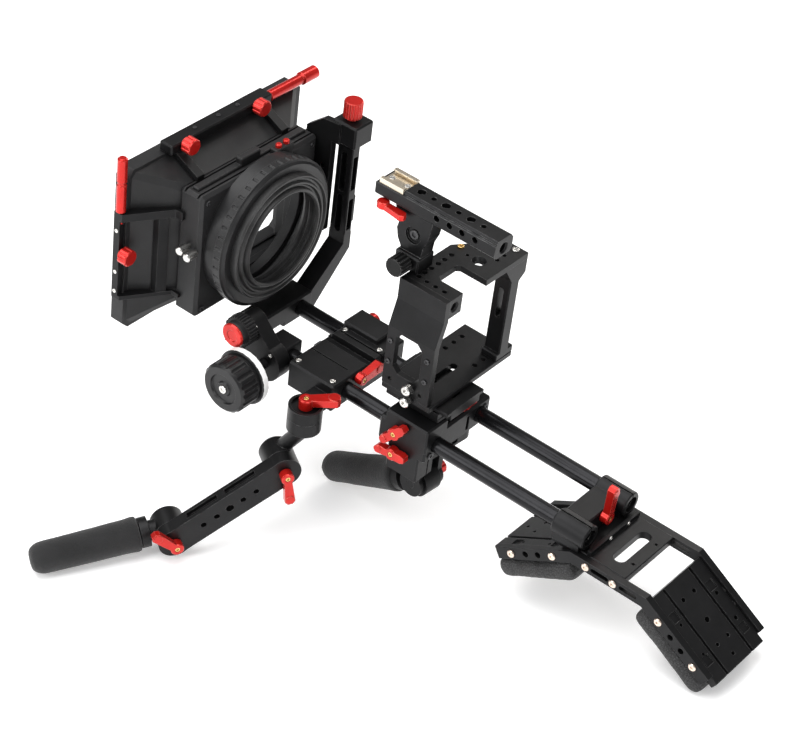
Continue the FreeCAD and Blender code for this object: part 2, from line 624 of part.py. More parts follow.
def handle_lever():
    """Red lever under the left edge of the bar's front end."""
    lever = ratchet_lever(25.0, 5.5, 6.5, 8.0, 5.0)
    return local(lever, V(BAR_X0 - 0.5, BAR_Y1 - 10.5, BAR_Z0 - FACE_GAP), V(-0.08, -1, 0), V(0, 0, -1))


# ---------------------------------------------------------------- matte box
def rect_wire(half, z0, z1, y, corner):
    c = corner
    pts = [(-half + c, z0), (half - c, z0), (half, z0 + c), (half, z1 - c), (half - c, z1), (-half + c, z1),
           (-half, z1 - c), (-half, z0 + c)]
    pts = [V(x, y, z) for x, z in pts]
    return Part.makePolygon(pts + [pts[0]])


def hood():
    """Flared sunshade: a thin funnel with a deeper rim."""
    t = 2.5
    out_f = [rect_wire(STAGE_HALF - 4, STAGE_Z0 + 4, STAGE_Z1 - 2, STAGE_Y1, 5),
             rect_wire(RIM_HALF - 4, RIM_Z0 + 3, RIM_Z1 - 3, RIM_Y0 + 1, 5)]
    in_f = [rect_wire(STAGE_HALF - 4 - t, STAGE_Z0 + 4 + t, STAGE_Z1 - 2 - t, STAGE_Y1 - 0.01, 4),
            rect_wire(RIM_HALF - 4 - t, RIM_Z0 + 3 + t, RIM_Z1 - 3 - t, RIM_Y0 + 1.01, 4)]
    funnel = Part.makeLoft(out_f, True, True).cut(Part.makeLoft(in_f, True, True))
    rim = Part.Face(rect_wire(RIM_HALF, RIM_Z0, RIM_Z1, RIM_Y0, 7)).extrude(V(0, RIM_Y1 - RIM_Y0, 0))
    rim = rim.cut(Part.Face(rect_wire(RIM_HALF - 6.5, RIM_Z0 + 5.5, RIM_Z1 - 5.5, RIM_Y0 - 1,
                                      5)).extrude(V(0, 40, 0)))
    back = box(-STAGE_HALF + 4, STAGE_HALF - 4, STAGE_Y1, STAGE_Y1 + 2.5, STAGE_Z0 + 4, STAGE_Z1 - 2)
    back = back.cut(box(-STAGE_HALF + 16, STAGE_HALF - 16, STAGE_Y1 - 1, STAGE_Y1 + 4, STAGE_Z0 + 14,
                        STAGE_Z1 - 12))
    shell = fuse([funnel, rim])
    return fuse([shell, back.common(Part.makeLoft(out_f, True, True))])


def filter_stage():
    """Filter housing: round seat at the back, an open-topped slot for the tray."""
    body = block(-STAGE_HALF, STAGE_HALF, STAGE_Y0, STAGE_Y1, STAGE_Z0, STAGE_Z1, 3.0)
    for y in (381.5, 396.5):
        body = body.cut(box(-STAGE_HALF - 1, STAGE_HALF + 1, y - 1, y + 1, STAGE_Z1 - 3, STAGE_Z1 + 1))
    cutters = [cyl_y(0, STAGE_Y0 - 1, TRAY_Y0, LENS_Z, 57.0),
               box(-58, 58, TRAY_Y0, STAGE_Y1 + 1, STAGE_Z0 + 12, STAGE_Z1 - 12),
               box(-70 - FACE_GAP, 70 + FACE_GAP, TRAY_Y0 - FACE_GAP, TRAY_Y1 + FACE_GAP,
                   STAGE_Z0 + 6 - FACE_GAP,
                   STAGE_Z1 + 1)]
    body = cut(body, cutters)
    tab = block(20.0, 44.0, STAGE_Y0 + 0.5, TRAY_Y0 - 1.5, STAGE_Z1 - 4, STAGE_Z1 + 6, 0.8)
    body = fuse([body, tab])
    return cut(body, [cyl_z(x, STAGE_Y0 + 4.6, STAGE_Z1 + 1.0, STAGE_Z1 + 7, 3.0 + TURN_GAP) for x in (27.0,
                                                                                                       37.0)])


def filter_tray():
    z0, z1 = STAGE_Z0 + 6, STAGE_Z1 + 3
    tray = block(-70.0, 70.0, TRAY_Y0, TRAY_Y1, z0, z1, 0.8)
    tray = tray.cut(box(-57, 57, TRAY_Y0 - 1, TRAY_Y1 + 1, z0 + 8, STAGE_Z1 - 13))
    pull = block(-16.0, 10.0, TRAY_Y0, TRAY_Y1, z1 - 2, z1 + 6, 1.0)
    return fuse([tray, pull])


def tray_buttons():
    out = []
    for x in (27.0, 37.0):
        out.append(turned(V(x, STAGE_Y0 + 4.6, STAGE_Z1 + 3.5), V(0, 0, 1), [(0, 0), (0, 3.0), (5.0, 3.0),
                                                                             (5.8, 2.3),
                                                                            (5.8, 0)]))
    return group(out)


def clamp_ring():
    """Knurled ring that holds the rubber donut on the back of the filter housing."""
    y0, y1 = RING_Y0, STAGE_Y0
    ring = turned(V(0, y0, LENS_Z), V(0, 1, 0),
                  [(0, RING_HOLE_R), (0, RING_R - 4), (2, RING_R - 2), (3, RING_R), (11, RING_R), (12,
                                                                                                   RING_R - 2.5),
                   (y1 - y0, RING_R - 2.5), (y1 - y0, RING_HOLE_R)])
    cutters = []
    count = 45
    for i in range(count):
        a = 2 * math.pi * i / count
        x, z = (RING_R + 0.9) * math.cos(a), LENS_Z + (RING_R + 0.9) * math.sin(a)
        cutters.append(cyl_y(x, y0 + 4, y0 + 10, z, 1.9))
    return cut(ring, cutters)


def donut():
    """Stepped rubber light seal."""
    y0 = DONUT_Y0
    depth = 24.0
    profile = [(9.0, RING_HOLE_R), (4.0, RING_HOLE_R), (2.5, 60.0), (2.5, 58.8), (4.5, 57.4), (4.5, 55.6),
               (2.0, 54.0),
               (2.0, 52.4), (4.2, 51.0), (4.2, 49.6), (0.6, 48.2), (0.0, 47.0), (0.0, 46.0), (1.2,
                                                                                              DONUT_HOLE_R),
               (3.0, DONUT_HOLE_R), (7.0, 50.0), (10.0, 50.0), (12.0, 47.5), (14.0, 50.5), (18.0,
                                                                                            52.5), (20.0,
                                                                                                    50.5),
               (depth, 53.0), (depth, RING_HOLE_R)]
    return turned(V(0, y0, LENS_Z), V(0, 1, 0), profile)


def top_flag_bracket():
    """Bar over the hood's rim on two struts from the filter housing."""
    z = RIM_Z1
    y1 = RIM_Y0 - 0.4
    bar = block(-67.0, 63.0, RIM_Y0 - 8, RIM_Y0 + 7, z + 0.5, z + 10.5, 1.2)
    parts = [bar]
    for x in (-60.0, 50.0):
        strut = [(STAGE_Y1 - 5, STAGE_Z1), (STAGE_Y1, STAGE_Z1), (y1, z - 1.5), (y1, z + 2), (RIM_Y0 - 7.6,
                                                                                              z + 2),
                 (RIM_Y0 - 7.6, z + 0.3), (STAGE_Y1 - 5, STAGE_Z1 + 4.5)]
        parts.append(prism_x(strut, x, x + 9))
    body = fuse(parts)
    return cut(body, [cyl_x(62.0 - 14, 64.0, TOP_PIN_Y, TOP_PIN_Z, 3.0 + TURN_GAP)])


def flag_knob(x, y, z):
    knob = thumb_knob(7.8, 12.0, 8)
    return local(knob, V(x, y - FACE_GAP, z), V(1, 0, 0), V(0, -1, 0))


def flag_pin(start, axis, hole_r, stem_r, stem, grip_r, grip):
    """Red pull pin: a thin end in its bracket, a stem, a neck and a thicker grip."""
    end = stem + 2.0 + grip
    return turned(start, axis, [(-12.0, 0), (-12.0, hole_r), (0.0, hole_r), (0.8, stem_r), (stem - 0.8,
                                                                                            stem_r),
                                (stem, stem_r - 0.8), (stem + 2.0, stem_r - 0.8), (stem + 3.0, grip_r),
                                (end - 1.5, grip_r), (end, grip_r - 1.5), (end, 0)])


def side_flag_bracket():
    """Upright strip outside the hood's rim, held by two bent arms and a rib from the filter housing."""
    z0, z1 = FLAG_Z0, FLAG_Z1
    outer, inner = FLAG_OUT, FLAG_OUT + 6.1
    rear = STAGE_Y1 - 7.5
    arm = [(outer, FLAG_FRONT), (inner, FLAG_FRONT), (inner, RIM_Y0 - 0.6), (-107.0, RIM_Y0 - 0.6), (-79.0,
                                                                                                     406.6),
           (-STAGE_HALF, 400.5), (-STAGE_HALF, rear), (-79.5, rear), (-79.5, STAGE_Y1), (outer, 427.5)]
    rib = [(-91.5, 410.2), (-83.5, 405.4), (-83.5, 410.2), (-91.5, 416.6)]
    parts = [prism_z(arm, z0, z0 + 4), prism_z(arm, z1 - 8, z1), prism_z(rib, z0 + 1, z1 - 1),
             box(outer, inner, RIM_Y0, FLAG_FRONT, z0 + 1, z1 - 1)]
    return cut(fuse(parts), [cyl_z(SIDE_PIN_X, SIDE_PIN_Y, z1 - 13, z1 + 1, 2.4 + TURN_GAP)])


def stage_pins():
    """Two spring pins in the left side of the filter housing."""
    out = []
    for y, z in ((388.5, 96.0), (379.5, 93.5)):
        pin = turned(V(-STAGE_HALF, y, z), V(-1, 0, 0), [(0, 0), (0, 2.6), (3.0, 2.6), (3.4, 4.0), (12.0,
                                                                                                    4.0),
                                                         (12.8, 3.2), (12.8, 0)])
        out.append(pin)
    return group(out)


def swing_plate():
    """Cheek plate on the filter housing with the hinge block that turns on the post."""
    x0 = STAGE_HALF
    plate = prism_x([(360.0, 54.0), (STAGE_Y1 - 2, 40.0), (STAGE_Y1 - 2, 140.0), (390.0, 151.0), (360.0,
                                                                                                  151.0)],
                    x0, x0 + 7)
    z0, z1 = POST_TOP + FACE_GAP, SWING_TOP
    hinge = block(x0 + 2, SWING_X + 13, SWING_Y - 15, SWING_Y + 13, z0, z1, 1.5)
    web = prism_x([(360.0, 150.0), (390.0, 150.0), (390.0, 156.0), (372.0, z1 - 4), (352.0, z1 - 2), (352.0,
                                                                                                      z0),
                   (360.0, z0)], x0, x0 + 7)
    body = fuse([plate, hinge, web])
    cutters = [cyl_z(SWING_X, SWING_Y, z0 - 1, z1 + 1, 5.0 + TURN_GAP)]
    for y, z in ((368.0, 70.0), (368.0, 96.0), (368.0, 122.0), (388.0, 60.0), (388.0, 130.0)):
        cutters.append(cyl_x(x0 - 1, x0 + 8, y, z, 2.4))
    return cut(body, cutters)


def swing_post():
    """Rod clamp under the matte box with the cranked arm and the slotted upright."""
    y0, y1 = MATTE_CLAMP_Y0, MATTE_CLAMP_Y1
    clamp = block(-BASE_HALF, BASE_HALF, y0, y1, -12.5, 11.0, 1.5)
    a0, a1 = SWING_Y - 9, SWING_Y + 9
    crank = prism_y([(38.0, -12.0), (48.0, -12.0), (SWING_X + 5, 36.0), (SWING_X + 5, 54.0), (SWING_X - 5,
                                                                                              54.0),
                     (SWING_X - 5, 44.0), (44.0, 10.0), (38.0, 10.0)], a0, a1)
    bump = block(SWING_X + 3, SWING_X + 10, a0 + 2, a1 - 2, 62.0, 92.0, 1.5)
    upright = block(SWING_X - 5, SWING_X + 5, a0, a1, 50.0, POST_TOP, 0.8)
    pin = cyl_z(SWING_X, SWING_Y, POST_TOP - 2, SWING_TOP, 5.0)
    body = fuse([clamp, crank, upright, bump, pin])
    cutters = rod_holes(y0, y1)
    for z0, z1 in ((58.0, 92.0), (102.0, 138.0)):
        cutters.append(fuse([box(SWING_X - 6, SWING_X + 2.5, SWING_Y - 3.4, SWING_Y + 3.4, z0, z1),
                             cyl_x(SWING_X - 6, SWING_X + 2.5, SWING_Y, z0, 3.4),
                             cyl_x(SWING_X - 6, SWING_X + 2.5, SWING_Y, z1, 3.4)]))
        cutters.append(box(SWING_X - 3.0, SWING_X + 3.0, a0 - 1, a0 + 5, z0, z1))
    cutters.append(box(-9, 9, y0 - 1, y1 + 1, -13, -6))
    return cut(body, cutters)


def swing_knob():
    knob = thumb_knob(9.0, 19.0, 22)
    return local(knob, V(SWING_X, SWING_Y, SWING_TOP + FACE_GAP), V(1, 0, 0), V(0, 0, 1))


# ---------------------------------------------------------------- follow focus
def focus_body():
    """Gearbox beside the left rod with its own rod clamp."""
    x0, x1 = -55.0, -39.5
    parts = [cyl_x(x0, x1, FOCUS_Y, FOCUS_Z, 18.0), cyl_x(x0, x1, GEAR_Y, GEAR_Z, 12.5)]
    dy, dz = unit(GEAR_Y - FOCUS_Y, GEAR_Z - FOCUS_Z)
    parts.append(prism_x([(FOCUS_Y - dz * 16, FOCUS_Z + dy * 16), (GEAR_Y - dz * 12, GEAR_Z + dy * 12),
                          (GEAR_Y + dz * 12, GEAR_Z - dy * 12), (FOCUS_Y + dz * 16,
                                                                 FOCUS_Z - dy * 16)], x0, x1))
    parts.append(block(-48.0, -17.0, FOCUS_Y - 12, FOCUS_Y + 12, -12.0, 12.0, 1.2))
    body = fuse(parts)
    cutters = [cyl_y(-ROD_X, FOCUS_Y - 30, FOCUS_Y + 30, 0, ROD_R + SLIDE_GAP),
               cyl_x(x0 - 1, x1 - 6, FOCUS_Y, FOCUS_Z, 5.0 + TURN_GAP),
               cyl_x(x0 - 1, x1 - 5, GEAR_Y, GEAR_Z, 4.0 + TURN_GAP)]
    return cut(body, cutters)


def focus_knob():
    """Big hand wheel with its marking collar and its shaft into the gearbox."""
    r = FOCUS_KNOB_R
    profile = [(-8.0, 0), (-8.0, 5.0), (22.0, 5.0), (22.0, r + 1.5), (23.0, r + 2.5), (29.0, r + 2.5),
               (30.0, r + 1.5),
               (30.0, r - 2.0), (32.0, r - 2.0), (33.0, r), (51.0, r), (53.5, r - 2.5), (53.5,
                                                                                         r - 9), (51.5,
                                                                                                  r - 10),
               (51.5, 7.5), (53.0, 6.5), (53.0, 0)]
    wheel = turned(V(-55.0, FOCUS_Y, FOCUS_Z), V(-1, 0, 0), profile)
    cutters = []
    for i in range(18):
        a = 2 * math.pi * (i + 0.5) / 18
        cutters.append(cyl_x(-107.0, -88.5, FOCUS_Y + (r + 2.4) * math.cos(a),
                             FOCUS_Z + (r + 2.4) * math.sin(a), 3.6))
    return cut(wheel, cutters)


def focus_gear():
    """Lens drive gear with its red locking cap."""
    root = GEAR_R - 1.8
    pts = []
    for i in range(GEAR_TEETH):
        for frac, r in ((0.0, root), (0.28, root), (0.42, GEAR_R), (0.70, GEAR_R), (0.86, root)):
            a = 2 * math.pi * (i + frac) / GEAR_TEETH
            pts.append((GEAR_Y + r * math.cos(a), GEAR_Z + r * math.sin(a)))
    gear = prism_x(pts, -66.0, -56.0)
    shaft = cyl_x(-67.0, -47.0, GEAR_Y, GEAR_Z, 4.0)
    cap = turned(V(-66.0, GEAR_Y, GEAR_Z), V(-1, 0, 0), [(0, 0), (0, 12.0), (5.0, 12.0), (6.0, 11.0), (6.0,
                                                                                                       0)])
    return fuse([gear, shaft, cap])


# ---------------------------------------------------------------- front clamp
def front_clamp():
    """Double rod clamp with the seat of the left handle."""
    y0, y1 = FRONT_Y0, FRONT_Y1
    parts = [block(-FRONT_HALF, FRONT_HALF, y0, y1, -15.0, 13.0, 1.5),
             block(-12.0, 12.0, y0 + 4, y1 + 4, -11.0, 9.0, 1.2),
             block(24.0, FRONT_HALF, y0 + 12, y1, 10.0, 19.0, 1.2)]
    z0 = SWIVEL_TOP - 12
    parts.append(cyl_z(SWIVEL_X, SWIVEL_Y, z0, SWIVEL_TOP, SWIVEL_R))
    parts.append(box(SWIVEL_X, -FRONT_HALF + 2, y0 + 1.5, y0 + 21, z0, SWIVEL_TOP))
    body = fuse(parts)
    cutters = rod_holes(y0 - 4, y1 + 4)
    cutters.append(cyl_z(SWIVEL_X, SWIVEL_Y, SWIVEL_TOP - 3.5, SWIVEL_TOP + 1, SWIVEL_R - 2.5))
    cutters.append(cyl_z(SWIVEL_X, SWIVEL_Y, z0 - 1, SWIVEL_TOP + 1, 4.0 + TURN_GAP))
    cutters.append(box(-3, 9, y0 - 5, y1 + 5, 6.0, 14.0))
    cutters.append(box(16.0, 18.0, y0 - 5, y1 + 5, -2.0, 14.0))
    cutters.append(box(-22.0, -20.5, y0 + 8, y1 + 5, 2.0, 14.0))
    return cut(body, cutters)


def front_clamp_lever():
    lever = ratchet_lever(28.0, 7.0, 8.0, 9.0, 7.0)
    return local(lever, V(FRONT_HALF + FACE_GAP, 276.0, 8.0), V(0, -0.94, -0.34), V(1, 0, 0))


def front_clamp_barrel():
    """Second lever, on the clamp's rear face."""
    lever = ratchet_lever(26.0, 5.5, 8.0, 10.0, 7.5)
    return local(lever, V(-16.0, FRONT_Y0 - FACE_GAP, 7.0), V(1, 0, 0.1), V(0, -1, 0))


# ---------------------------------------------------------------- left handle
def left_axes():
    a = math.radians(HANDLE_YAW)
    out = V(-math.sin(a), math.cos(a), 0)
    face = V(-math.cos(a), -math.sin(a), 0)
    return out, face


def along(direction, drop):
    """A level direction dipped by an angle."""
    d = math.radians(drop)
    return direction * math.cos(d) - V(0, 0, math.sin(d))


def left_wrist():
    out, face = left_axes()
    return ELBOW + along(out, ARM_DROP) * ARM_LENGTH


def left_swivel():
    """Swivel head: cup under the front clamp, neck, and the elbow barrel."""
    out, face = left_axes()
    z1 = SWIVEL_TOP - 12 - FACE_GAP
    cup = turned(V(SWIVEL_X, SWIVEL_Y, z1), V(0, 0, -1), [(0, 0), (0, SWIVEL_R), (13.0, SWIVEL_R), (16.0,
                                                                                                    SWIVEL_R - 4),
                                                         (18.0, 9.0), (18.0, 0)])
    stem = cyl_z(SWIVEL_X, SWIVEL_Y, z1 - 1, SWIVEL_TOP - 4.0, 4.0)
    top = V(SWIVEL_X, SWIVEL_Y, z1 - 16)
    mid = ELBOW - face * 15
    neck_line = mid - top
    neck = Part.makeCylinder(7.0, neck_line.Length, top, neck_line)
    barrel = turned(ELBOW + face * 2.0, face * -1, [(0, 0), (0, EYE_R), (20.0, EYE_R), (23.0, EYE_R - 2.5),
                                                    (23.0, 0)])
    pin = Part.makeCylinder(4.0, 14.0, ELBOW + face * 1.0, face)
    return fuse([cup, stem, neck, barrel, pin])


def left_swivel_lever():
    lever = ratchet_lever(30.0, 6.5, 11.0, 12.0, 7.0)
    return local(lever, V(SWIVEL_X, SWIVEL_Y, SWIVEL_TOP - 3.5 + FACE_GAP), V(0.73, -0.68, 0), V(0, 0, 1))


def left_arm():
    """Long flat arm with rounded ends, five holes in its face and slots in its upper edge."""
    r = ARM_W / 2
    bar = fuse([box(0, ARM_LENGTH, -r, r, 0, ARM_T), cyl_z(0, 0, 0, ARM_T, EYE_R), cyl_z(ARM_LENGTH, 0, 0,
                                                                                         ARM_T, EYE_R)])
    cutters = [cyl_z(0, 0, -1, ARM_T + 1, 4.0 + TURN_GAP), cyl_z(ARM_LENGTH, 0, -1, ARM_T + 1,
                                                                 4.0 + TURN_GAP)]
    for i, radius in enumerate((2.8, 2.8, 3.8, 2.8, 2.8)):
        cutters.append(cyl_z(ARM_LENGTH * 0.5 + (i - 2) * 14.0, 0, -1, ARM_T + 1, radius))
    for x0 in (22.0, 62.0):
        cutters.append(box(x0, x0 + 32.0, r - 4.0, r + 1, 3.5, ARM_T - 3.5))
        cutters.append(box(x0, x0 + 32.0, -r - 1, -r + 4.0, 3.5, ARM_T - 3.5))
    bar = cut(bar, cutters)
    out, face = left_axes()
    return local(bar, ELBOW + face * (2.0 + FACE_GAP), along(out, ARM_DROP), face)


def eye_lever(centre, face, point, reach):
    lever = ratchet_lever(reach, 6.0, 9.0, 9.5, 6.0)
    return local(lever, centre + face * (2.0 + FACE_GAP + ARM_T + FACE_GAP), point, face)


def left_elbow_lever():
    out, face = left_axes()
    return eye_lever(ELBOW, face, V(0, 0, -1) - out * 0.15, 30.0)


def left_wrist_lever():
    out, face = left_axes()
    return eye_lever(left_wrist(), face, out * 0.75 + V(0, 0, 0.66), 30.0)


def grip_core(eye_from, eye_to, pin_to):
    """Wrist eye and tube of a grip: the grip runs along +X, the wrist axle along +Z."""
    eye = cyl_z(0, 0, eye_from, eye_to, EYE_R)
    mid = (eye_from + eye_to) / 2
    h = (eye_to - eye_from) / 2 - 0.5
    tube_end = GRIP_LENGTH - 12
    neck = turned(V(6.0, 0, mid), V(1, 0, 0), [(0, 0), (0, h), (12.0, h), (13.0, 14.0), (21.0, 14.0),
                                               (21.0, GRIP_TUBE_R), (tube_end, GRIP_TUBE_R), (tube_end, 0)])
    parts = [eye, neck]
    if pin_to > eye_to:
        parts.append(cyl_z(0, 0, eye_to - 1, pin_to, 4.0))
    return fuse(parts), mid


def grip_foam(mid):
    """Foam sleeve over the grip's tube, closed at the tip."""
    start = 27.0
    length = GRIP_LENGTH - start
    sleeve = turned(V(start, 0, mid), V(1, 0, 0), [(0, 0), (0, FOAM_R - 1.5), (1.5, FOAM_R + 1), (12.0,
                                                                                                  FOAM_R),
                                                   (length - 9, FOAM_R - 1), (length - 2.5, FOAM_R - 4),
                                                   (length, FOAM_R - 8), (length, 0)])
    return sleeve.cut(cyl_x(start - 1, GRIP_LENGTH - 6, 0, mid, GRIP_TUBE_R))


def left_grip():
    out, face = left_axes()
    core, mid = grip_core(-18.0, 2.0, 15.0)
    place = (left_wrist(), along(out, GRIP_DROP), face)
    return local(core, *place), local(grip_foam(mid), *place)


# ---------------------------------------------------------------- right handle
def right_axes():
    a = math.radians(RIGHT_YAW)
    axle = V(math.cos(a), math.sin(a), 0)
    ahead = V(-math.sin(a), math.cos(a), 0)
    return axle, ahead


def hanger_arm():
    """Slotted bar under the base clamp with the fork that carries the right grip."""
    z1 = HANGER_TOP
    bar = fuse([box(-15.0, HANGER_BOLT_N, -9.0, 9.0, z1 - 13, z1), cyl_z(HANGER_BOLT_N, 0, z1 - 13, z1,
                                                                         9.0)])
    bar = cut(bar, [box(4.0, 32.0, -10.0, -6.0, z1 - 10, z1 - 3),
                    cyl_z(HANGER_BOLT_N, 0, z1 - 8, z1 + 1, 4.0 + TURN_GAP)])
    ears = []
    for n in (-15.0, 9.5):
        z = WRIST_R.z
        ears.append(fuse([box(n, n + 5.5, -9.0, 9.0, z, z1 - 12), cyl_x(n, n + 5.5, 0, z, 12.5)]))
    body = fuse([bar] + ears)
    body = body.cut(cyl_x(-16.0, 16.0, 0, WRIST_R.z, 4.0 + TURN_GAP))
    axle, ahead = right_axes()
    return local(body, V(WRIST_R.x, WRIST_R.y, 0), axle, V(0, 0, 1))


def hanger_bolt():
    """Pivot bolt of the hanger arm, standing out of the base clamp."""
    x, y = hanger_point(HANGER_BOLT_N)
    return cyl_z(x, y, HANGER_TOP - 7.5, -12.0, 4.0)


def right_grip():
    axle, ahead = right_axes()
    core, mid = grip_core(-9.2, 9.2, 0.0)
    core = fuse([core, cyl_z(0, 0, -14.9, 14.9, 4.0)])
    place = (WRIST_R, along(ahead, RIGHT_DROP), axle)
    return local(core, *place), local(grip_foam(mid), *place)


def right_grip_knob():
    axle, ahead = right_axes()
    knob = thumb_knob(7.0, 11.0, 8)
    return local(knob, WRIST_R + axle * (15.0 + FACE_GAP), ahead, axle)


# ---------------------------------------------------------------- everything together
def build():
    left_core, left_foam = left_grip()
    right_core, right_foam = right_grip()
    return {
        "rod_left": rod(-1),
        "rod_right": rod(1),
        "shoulder_clamp": shoulder_clamp(),
        "shoulder_lever": shoulder_lever(),
        "shoulder_rails": shoulder_rails(),
        "shoulder_bridge": shoulder_bridge(),
        "pad_plates": pad_plates(),
        "front_pad": shoulder_pad(1),
        "rear_pad": shoulder_pad(-1),
        "shoulder_screws": shoulder_screws(),
        "base_clamp": base_clamp().fuse(hanger_bolt()).removeSplitter(),
        "base_lever_upper": base_lever(162.4, 6.0, 0.68, -0.73),
        "base_lever_lower": base_lever(162.4, -16.5, 1.0, -0.1),
        "rod_lever": rod_lever(),
        "qr_base": qr_base(),
        "qr_plate": qr_plate(),
        "qr_stop_screws": qr_stop_screws(),
        "cage_bottom": cage_bottom(),
        "cage_left_side": cage_left_side(),
        "cage_top": cage_top(),
        "cage_right_side": cage_right_side(),
        "handle_bar": handle_bar(),
        "handle_post": handle_post(),
        "cold_shoe": cold_shoe(),
        "handle_knob": handle_knob(),
        "handle_lever": handle_lever(),
        "hood": hood(),
        "filter_stage": filter_stage(),
        "filter_tray": filter_tray(),
        "tray_buttons": tray_buttons(),
        "clamp_ring": clamp_ring(),
        "donut": donut(),
        "top_flag_bracket": top_flag_bracket(),
        "top_flag_knob_left": flag_knob(-51.0, RIM_Y0 - 8, RIM_Z1 + 8.7),
        "top_flag_knob_right": flag_knob(41.0, RIM_Y0 - 8, RIM_Z1 + 8.7),
        "top_flag_pin": flag_pin(V(63.0 + FACE_GAP, TOP_PIN_Y, TOP_PIN_Z), V(1, 0, 0), 3.0, 5.0, 42.0, 6.2,
                                 21.0),
        "side_flag_bracket": side_flag_bracket(),
        "side_flag_knob": flag_knob(-RIM_HALF - 5.0, RIM_Y0, 86.0),
        "side_flag_pin": flag_pin(V(SIDE_PIN_X, SIDE_PIN_Y, FLAG_Z1 + FACE_GAP), V(0, 0, 1), 2.4, 4.5, 29.0,
                                  4.6, 25.0),
        "stage_pins": stage_pins(),
        "swing_plate": swing_plate(),
        "swing_post": swing_post(),
        "swing_knob": swing_knob(),
        "focus_body": focus_body(),
        "focus_knob": focus_knob(),
        "focus_gear": focus_gear(),
        "front_clamp": front_clamp(),
        "front_clamp_lever": front_clamp_lever(),
        "front_clamp_barrel": front_clamp_barrel(),
        "left_swivel": left_swivel(),
        "left_swivel_lever": left_swivel_lever(),
        "left_arm": left_arm(),
        "left_elbow_lever": left_elbow_lever(),
        "left_wrist_lever": left_wrist_lever(),
        "left_grip_core": left_core,
        "left_grip_foam": left_foam,
        "hanger_arm": hanger_arm(),
        "right_grip_core": right_core,
        "right_grip_foam": right_foam,
        "right_grip_knob": right_grip_knob(),
    }


def park(nodes):
    """Pitch the rig nose-up and set the middle of its base rectangle on the origin."""
    placed = {}
    for name, shape in nodes.items():
        out = shape.copy()
        out.rotate(V(0, 0, 0), V(1, 0, 0), PITCH)
        placed[name] = out
    whole = Part.makeCompound(list(placed.values())).optimalBoundingBox(False, False)
    shift = V(-(whole.XMin + whole.XMax) / 2, -(whole.YMin + whole.YMax) / 2, -whole.ZMin)
    for shape in placed.values():
        shape.translate(shift)
    print("shift", shift.x, shift.y, shift.z)
    return placed


os.makedirs("parts", exist_ok=True)
for node, solid in park(build()).items():
    solid.exportStep("parts/" + node + ".step")
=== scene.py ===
import json
import math
import bmesh
import bpy
from mathutils import Matrix, Vector, noise


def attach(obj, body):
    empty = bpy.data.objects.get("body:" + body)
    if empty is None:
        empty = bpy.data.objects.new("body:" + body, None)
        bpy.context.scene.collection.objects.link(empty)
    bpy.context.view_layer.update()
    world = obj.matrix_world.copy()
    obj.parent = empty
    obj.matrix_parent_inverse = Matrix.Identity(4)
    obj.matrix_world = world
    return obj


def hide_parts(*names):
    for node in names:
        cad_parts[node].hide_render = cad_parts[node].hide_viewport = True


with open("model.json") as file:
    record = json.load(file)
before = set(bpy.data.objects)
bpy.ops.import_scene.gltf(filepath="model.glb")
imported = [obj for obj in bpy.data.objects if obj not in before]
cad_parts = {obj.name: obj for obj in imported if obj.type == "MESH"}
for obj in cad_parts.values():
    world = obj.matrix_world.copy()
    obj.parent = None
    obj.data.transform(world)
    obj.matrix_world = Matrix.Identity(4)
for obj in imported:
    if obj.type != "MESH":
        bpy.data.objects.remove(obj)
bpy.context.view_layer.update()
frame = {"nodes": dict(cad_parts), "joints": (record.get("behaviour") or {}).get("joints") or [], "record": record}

MM = 0.001
scene = bpy.context.scene


# ---- the rig's own level frame
# The parked rig stands nose-up.  The tapped rear ends of its two rods give the rods' direction and
# the rig's middle, so that every later place is in mm: right of the middle, forward, over the rods.
mounts = {m["name"]: m for m in frame["record"]["mounts"]}
rod_ends = [Vector(mounts[f"rod_{side}_end_thread"]["pos_m"]) for side in ("left", "right")]
AHEAD = -Vector(mounts["rod_left_end_thread"]["axis"]).normalized()
RIGHT = Vector((1, 0, 0))
UP = RIGHT.cross(AHEAD)
ROD_REAR = -20.0
ZERO = (rod_ends[0] + rod_ends[1]) / 2 - AHEAD * ROD_REAR * MM


def rig(x, y, z):
    return ZERO + (RIGHT * x + AHEAD * y + UP * z) * MM


def way(x, y, z):
    return (RIGHT * x + AHEAD * y + UP * z).normalized()


# ---- camera, floor and studio light
# A long lens looks down on the rig from its rear left.  The floor is flat white paper that glows a
# little, lit by soft boxes overhead, on the left and by the camera, and by a warm strip on the right.
CAMERA_AZIMUTH = math.radians(50.457)
CAMERA_DIP = math.radians(33.225)
CAMERA_ROLL = math.radians(-0.72)
CAMERA_TARGET = Vector((0.01309, 0.00929, 0.21769))
CAMERA_DISTANCE = 2.0
FOCAL_LENGTH = 107.53
look = Vector((math.sin(CAMERA_AZIMUTH) * math.cos(CAMERA_DIP),
               math.cos(CAMERA_AZIMUTH) * math.cos(CAMERA_DIP),
               -math.sin(CAMERA_DIP)))
camera_data = bpy.data.cameras.new("camera")
camera_data.lens = FOCAL_LENGTH
camera_data.sensor_width = 36.0
camera_data.clip_end = 50.0
camera = bpy.data.objects.new("camera", camera_data)
camera.matrix_world = (Matrix.Translation(CAMERA_TARGET - look * CAMERA_DISTANCE)
                       @ look.to_track_quat("-Z", "Y").to_matrix().to_4x4()
                       @ Matrix.Rotation(CAMERA_ROLL, 4, "Z"))
scene.collection.objects.link(camera)
scene.camera = camera


